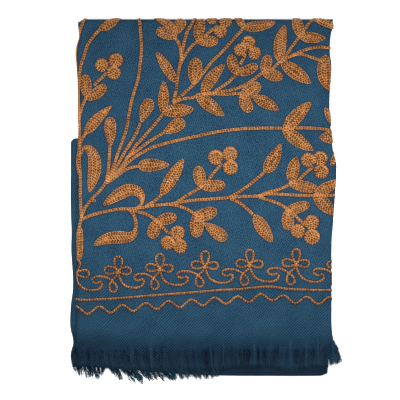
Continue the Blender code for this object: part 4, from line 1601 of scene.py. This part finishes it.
# %% Floor
FLOOR_HALF = 3.0
FLOOR_GLOW = 0.45
floor_corners = [(x * FLOOR_HALF, y * FLOOR_HALF, 0.0) for x, y in ((-1, -1), (1, -1), (1, 1), (-1, 1))]
floor_mesh = bpy.data.meshes.new("floor")
floor_mesh.from_pydata(floor_corners, [], [(0, 1, 2, 3)])
floor = bpy.data.objects.new("floor", floor_mesh)
bpy.context.scene.collection.objects.link(floor)
paper = Finish("floor_paper", 0.9, specular=0.1)
grain = paper.noise(paper.add("ShaderNodeTexCoord").outputs["Object"], 400.0)
paper.colour(paper.between(grain, (0.90, 0.90, 0.90, 1), (0.93, 0.93, 0.93, 1)))
paper.shader.inputs["Emission Color"].default_value = (1.0, 1.0, 1.0, 1)
paper.shader.inputs["Emission Strength"].default_value = FLOOR_GLOW
floor_mesh.materials.append(paper.material)

# %% Light
Lamp = namedtuple("Lamp", "name place wide deep power")
LAMPS = (
    Lamp("key", (0.012, 0.006, 0.331), 0.58, 0.156, 5.9),
    Lamp("fill_left", (-0.5, 0.2, 0.35), 0.5, 0.5, 0.5),
    Lamp("fill_right", (0.5, 0.26, 0.35), 0.5, 0.5, 1.0),
    Lamp("fill_top", (0.0, 0.60, 0.13), 0.5, 0.2, 1.7),
)
SKY_STRENGTH = 0.26
for lamp in LAMPS:
    light = bpy.data.lights.new(lamp.name, "AREA")
    light.shape = "RECTANGLE"
    light.size = lamp.wide
    light.size_y = lamp.deep
    light.energy = lamp.power
    holder = bpy.data.objects.new(lamp.name, light)
    holder.location = lamp.place
    out = Vector(lamp.place).normalized()
    right = Vector((0, 1, 0)).cross(out).normalized()
    turned = Matrix((right, out.cross(right), out)).transposed()
    holder.rotation_euler = turned.to_euler()
    bpy.context.scene.collection.objects.link(holder)
world = bpy.data.worlds.new("studio")
world.use_nodes = True
world.node_tree.nodes["Background"].inputs["Color"].default_value = (1.0, 1.0, 1.0, 1.0)
world.node_tree.nodes["Background"].inputs["Strength"].default_value = SKY_STRENGTH
bpy.context.scene.world = world
bpy.context.scene.view_settings.view_transform = "Standard"

# %% Camera
VIEW_WIDE = 0.380
LENS = 150.0
SENSOR = 36.0
CAMERA_X = -5.4 * MM
CAMERA_Y = 0.7 * MM
TOP_Z = 13.0 * MM
camera_data = bpy.data.cameras.new("camera")
camera_data.lens = LENS
camera_data.sensor_width = SENSOR
camera = bpy.data.objects.new("camera", camera_data)
camera.location = (CAMERA_X, CAMERA_Y, TOP_Z + VIEW_WIDE * LENS / SENSOR)
bpy.context.scene.collection.objects.link(camera)
bpy.context.scene.camera = camera
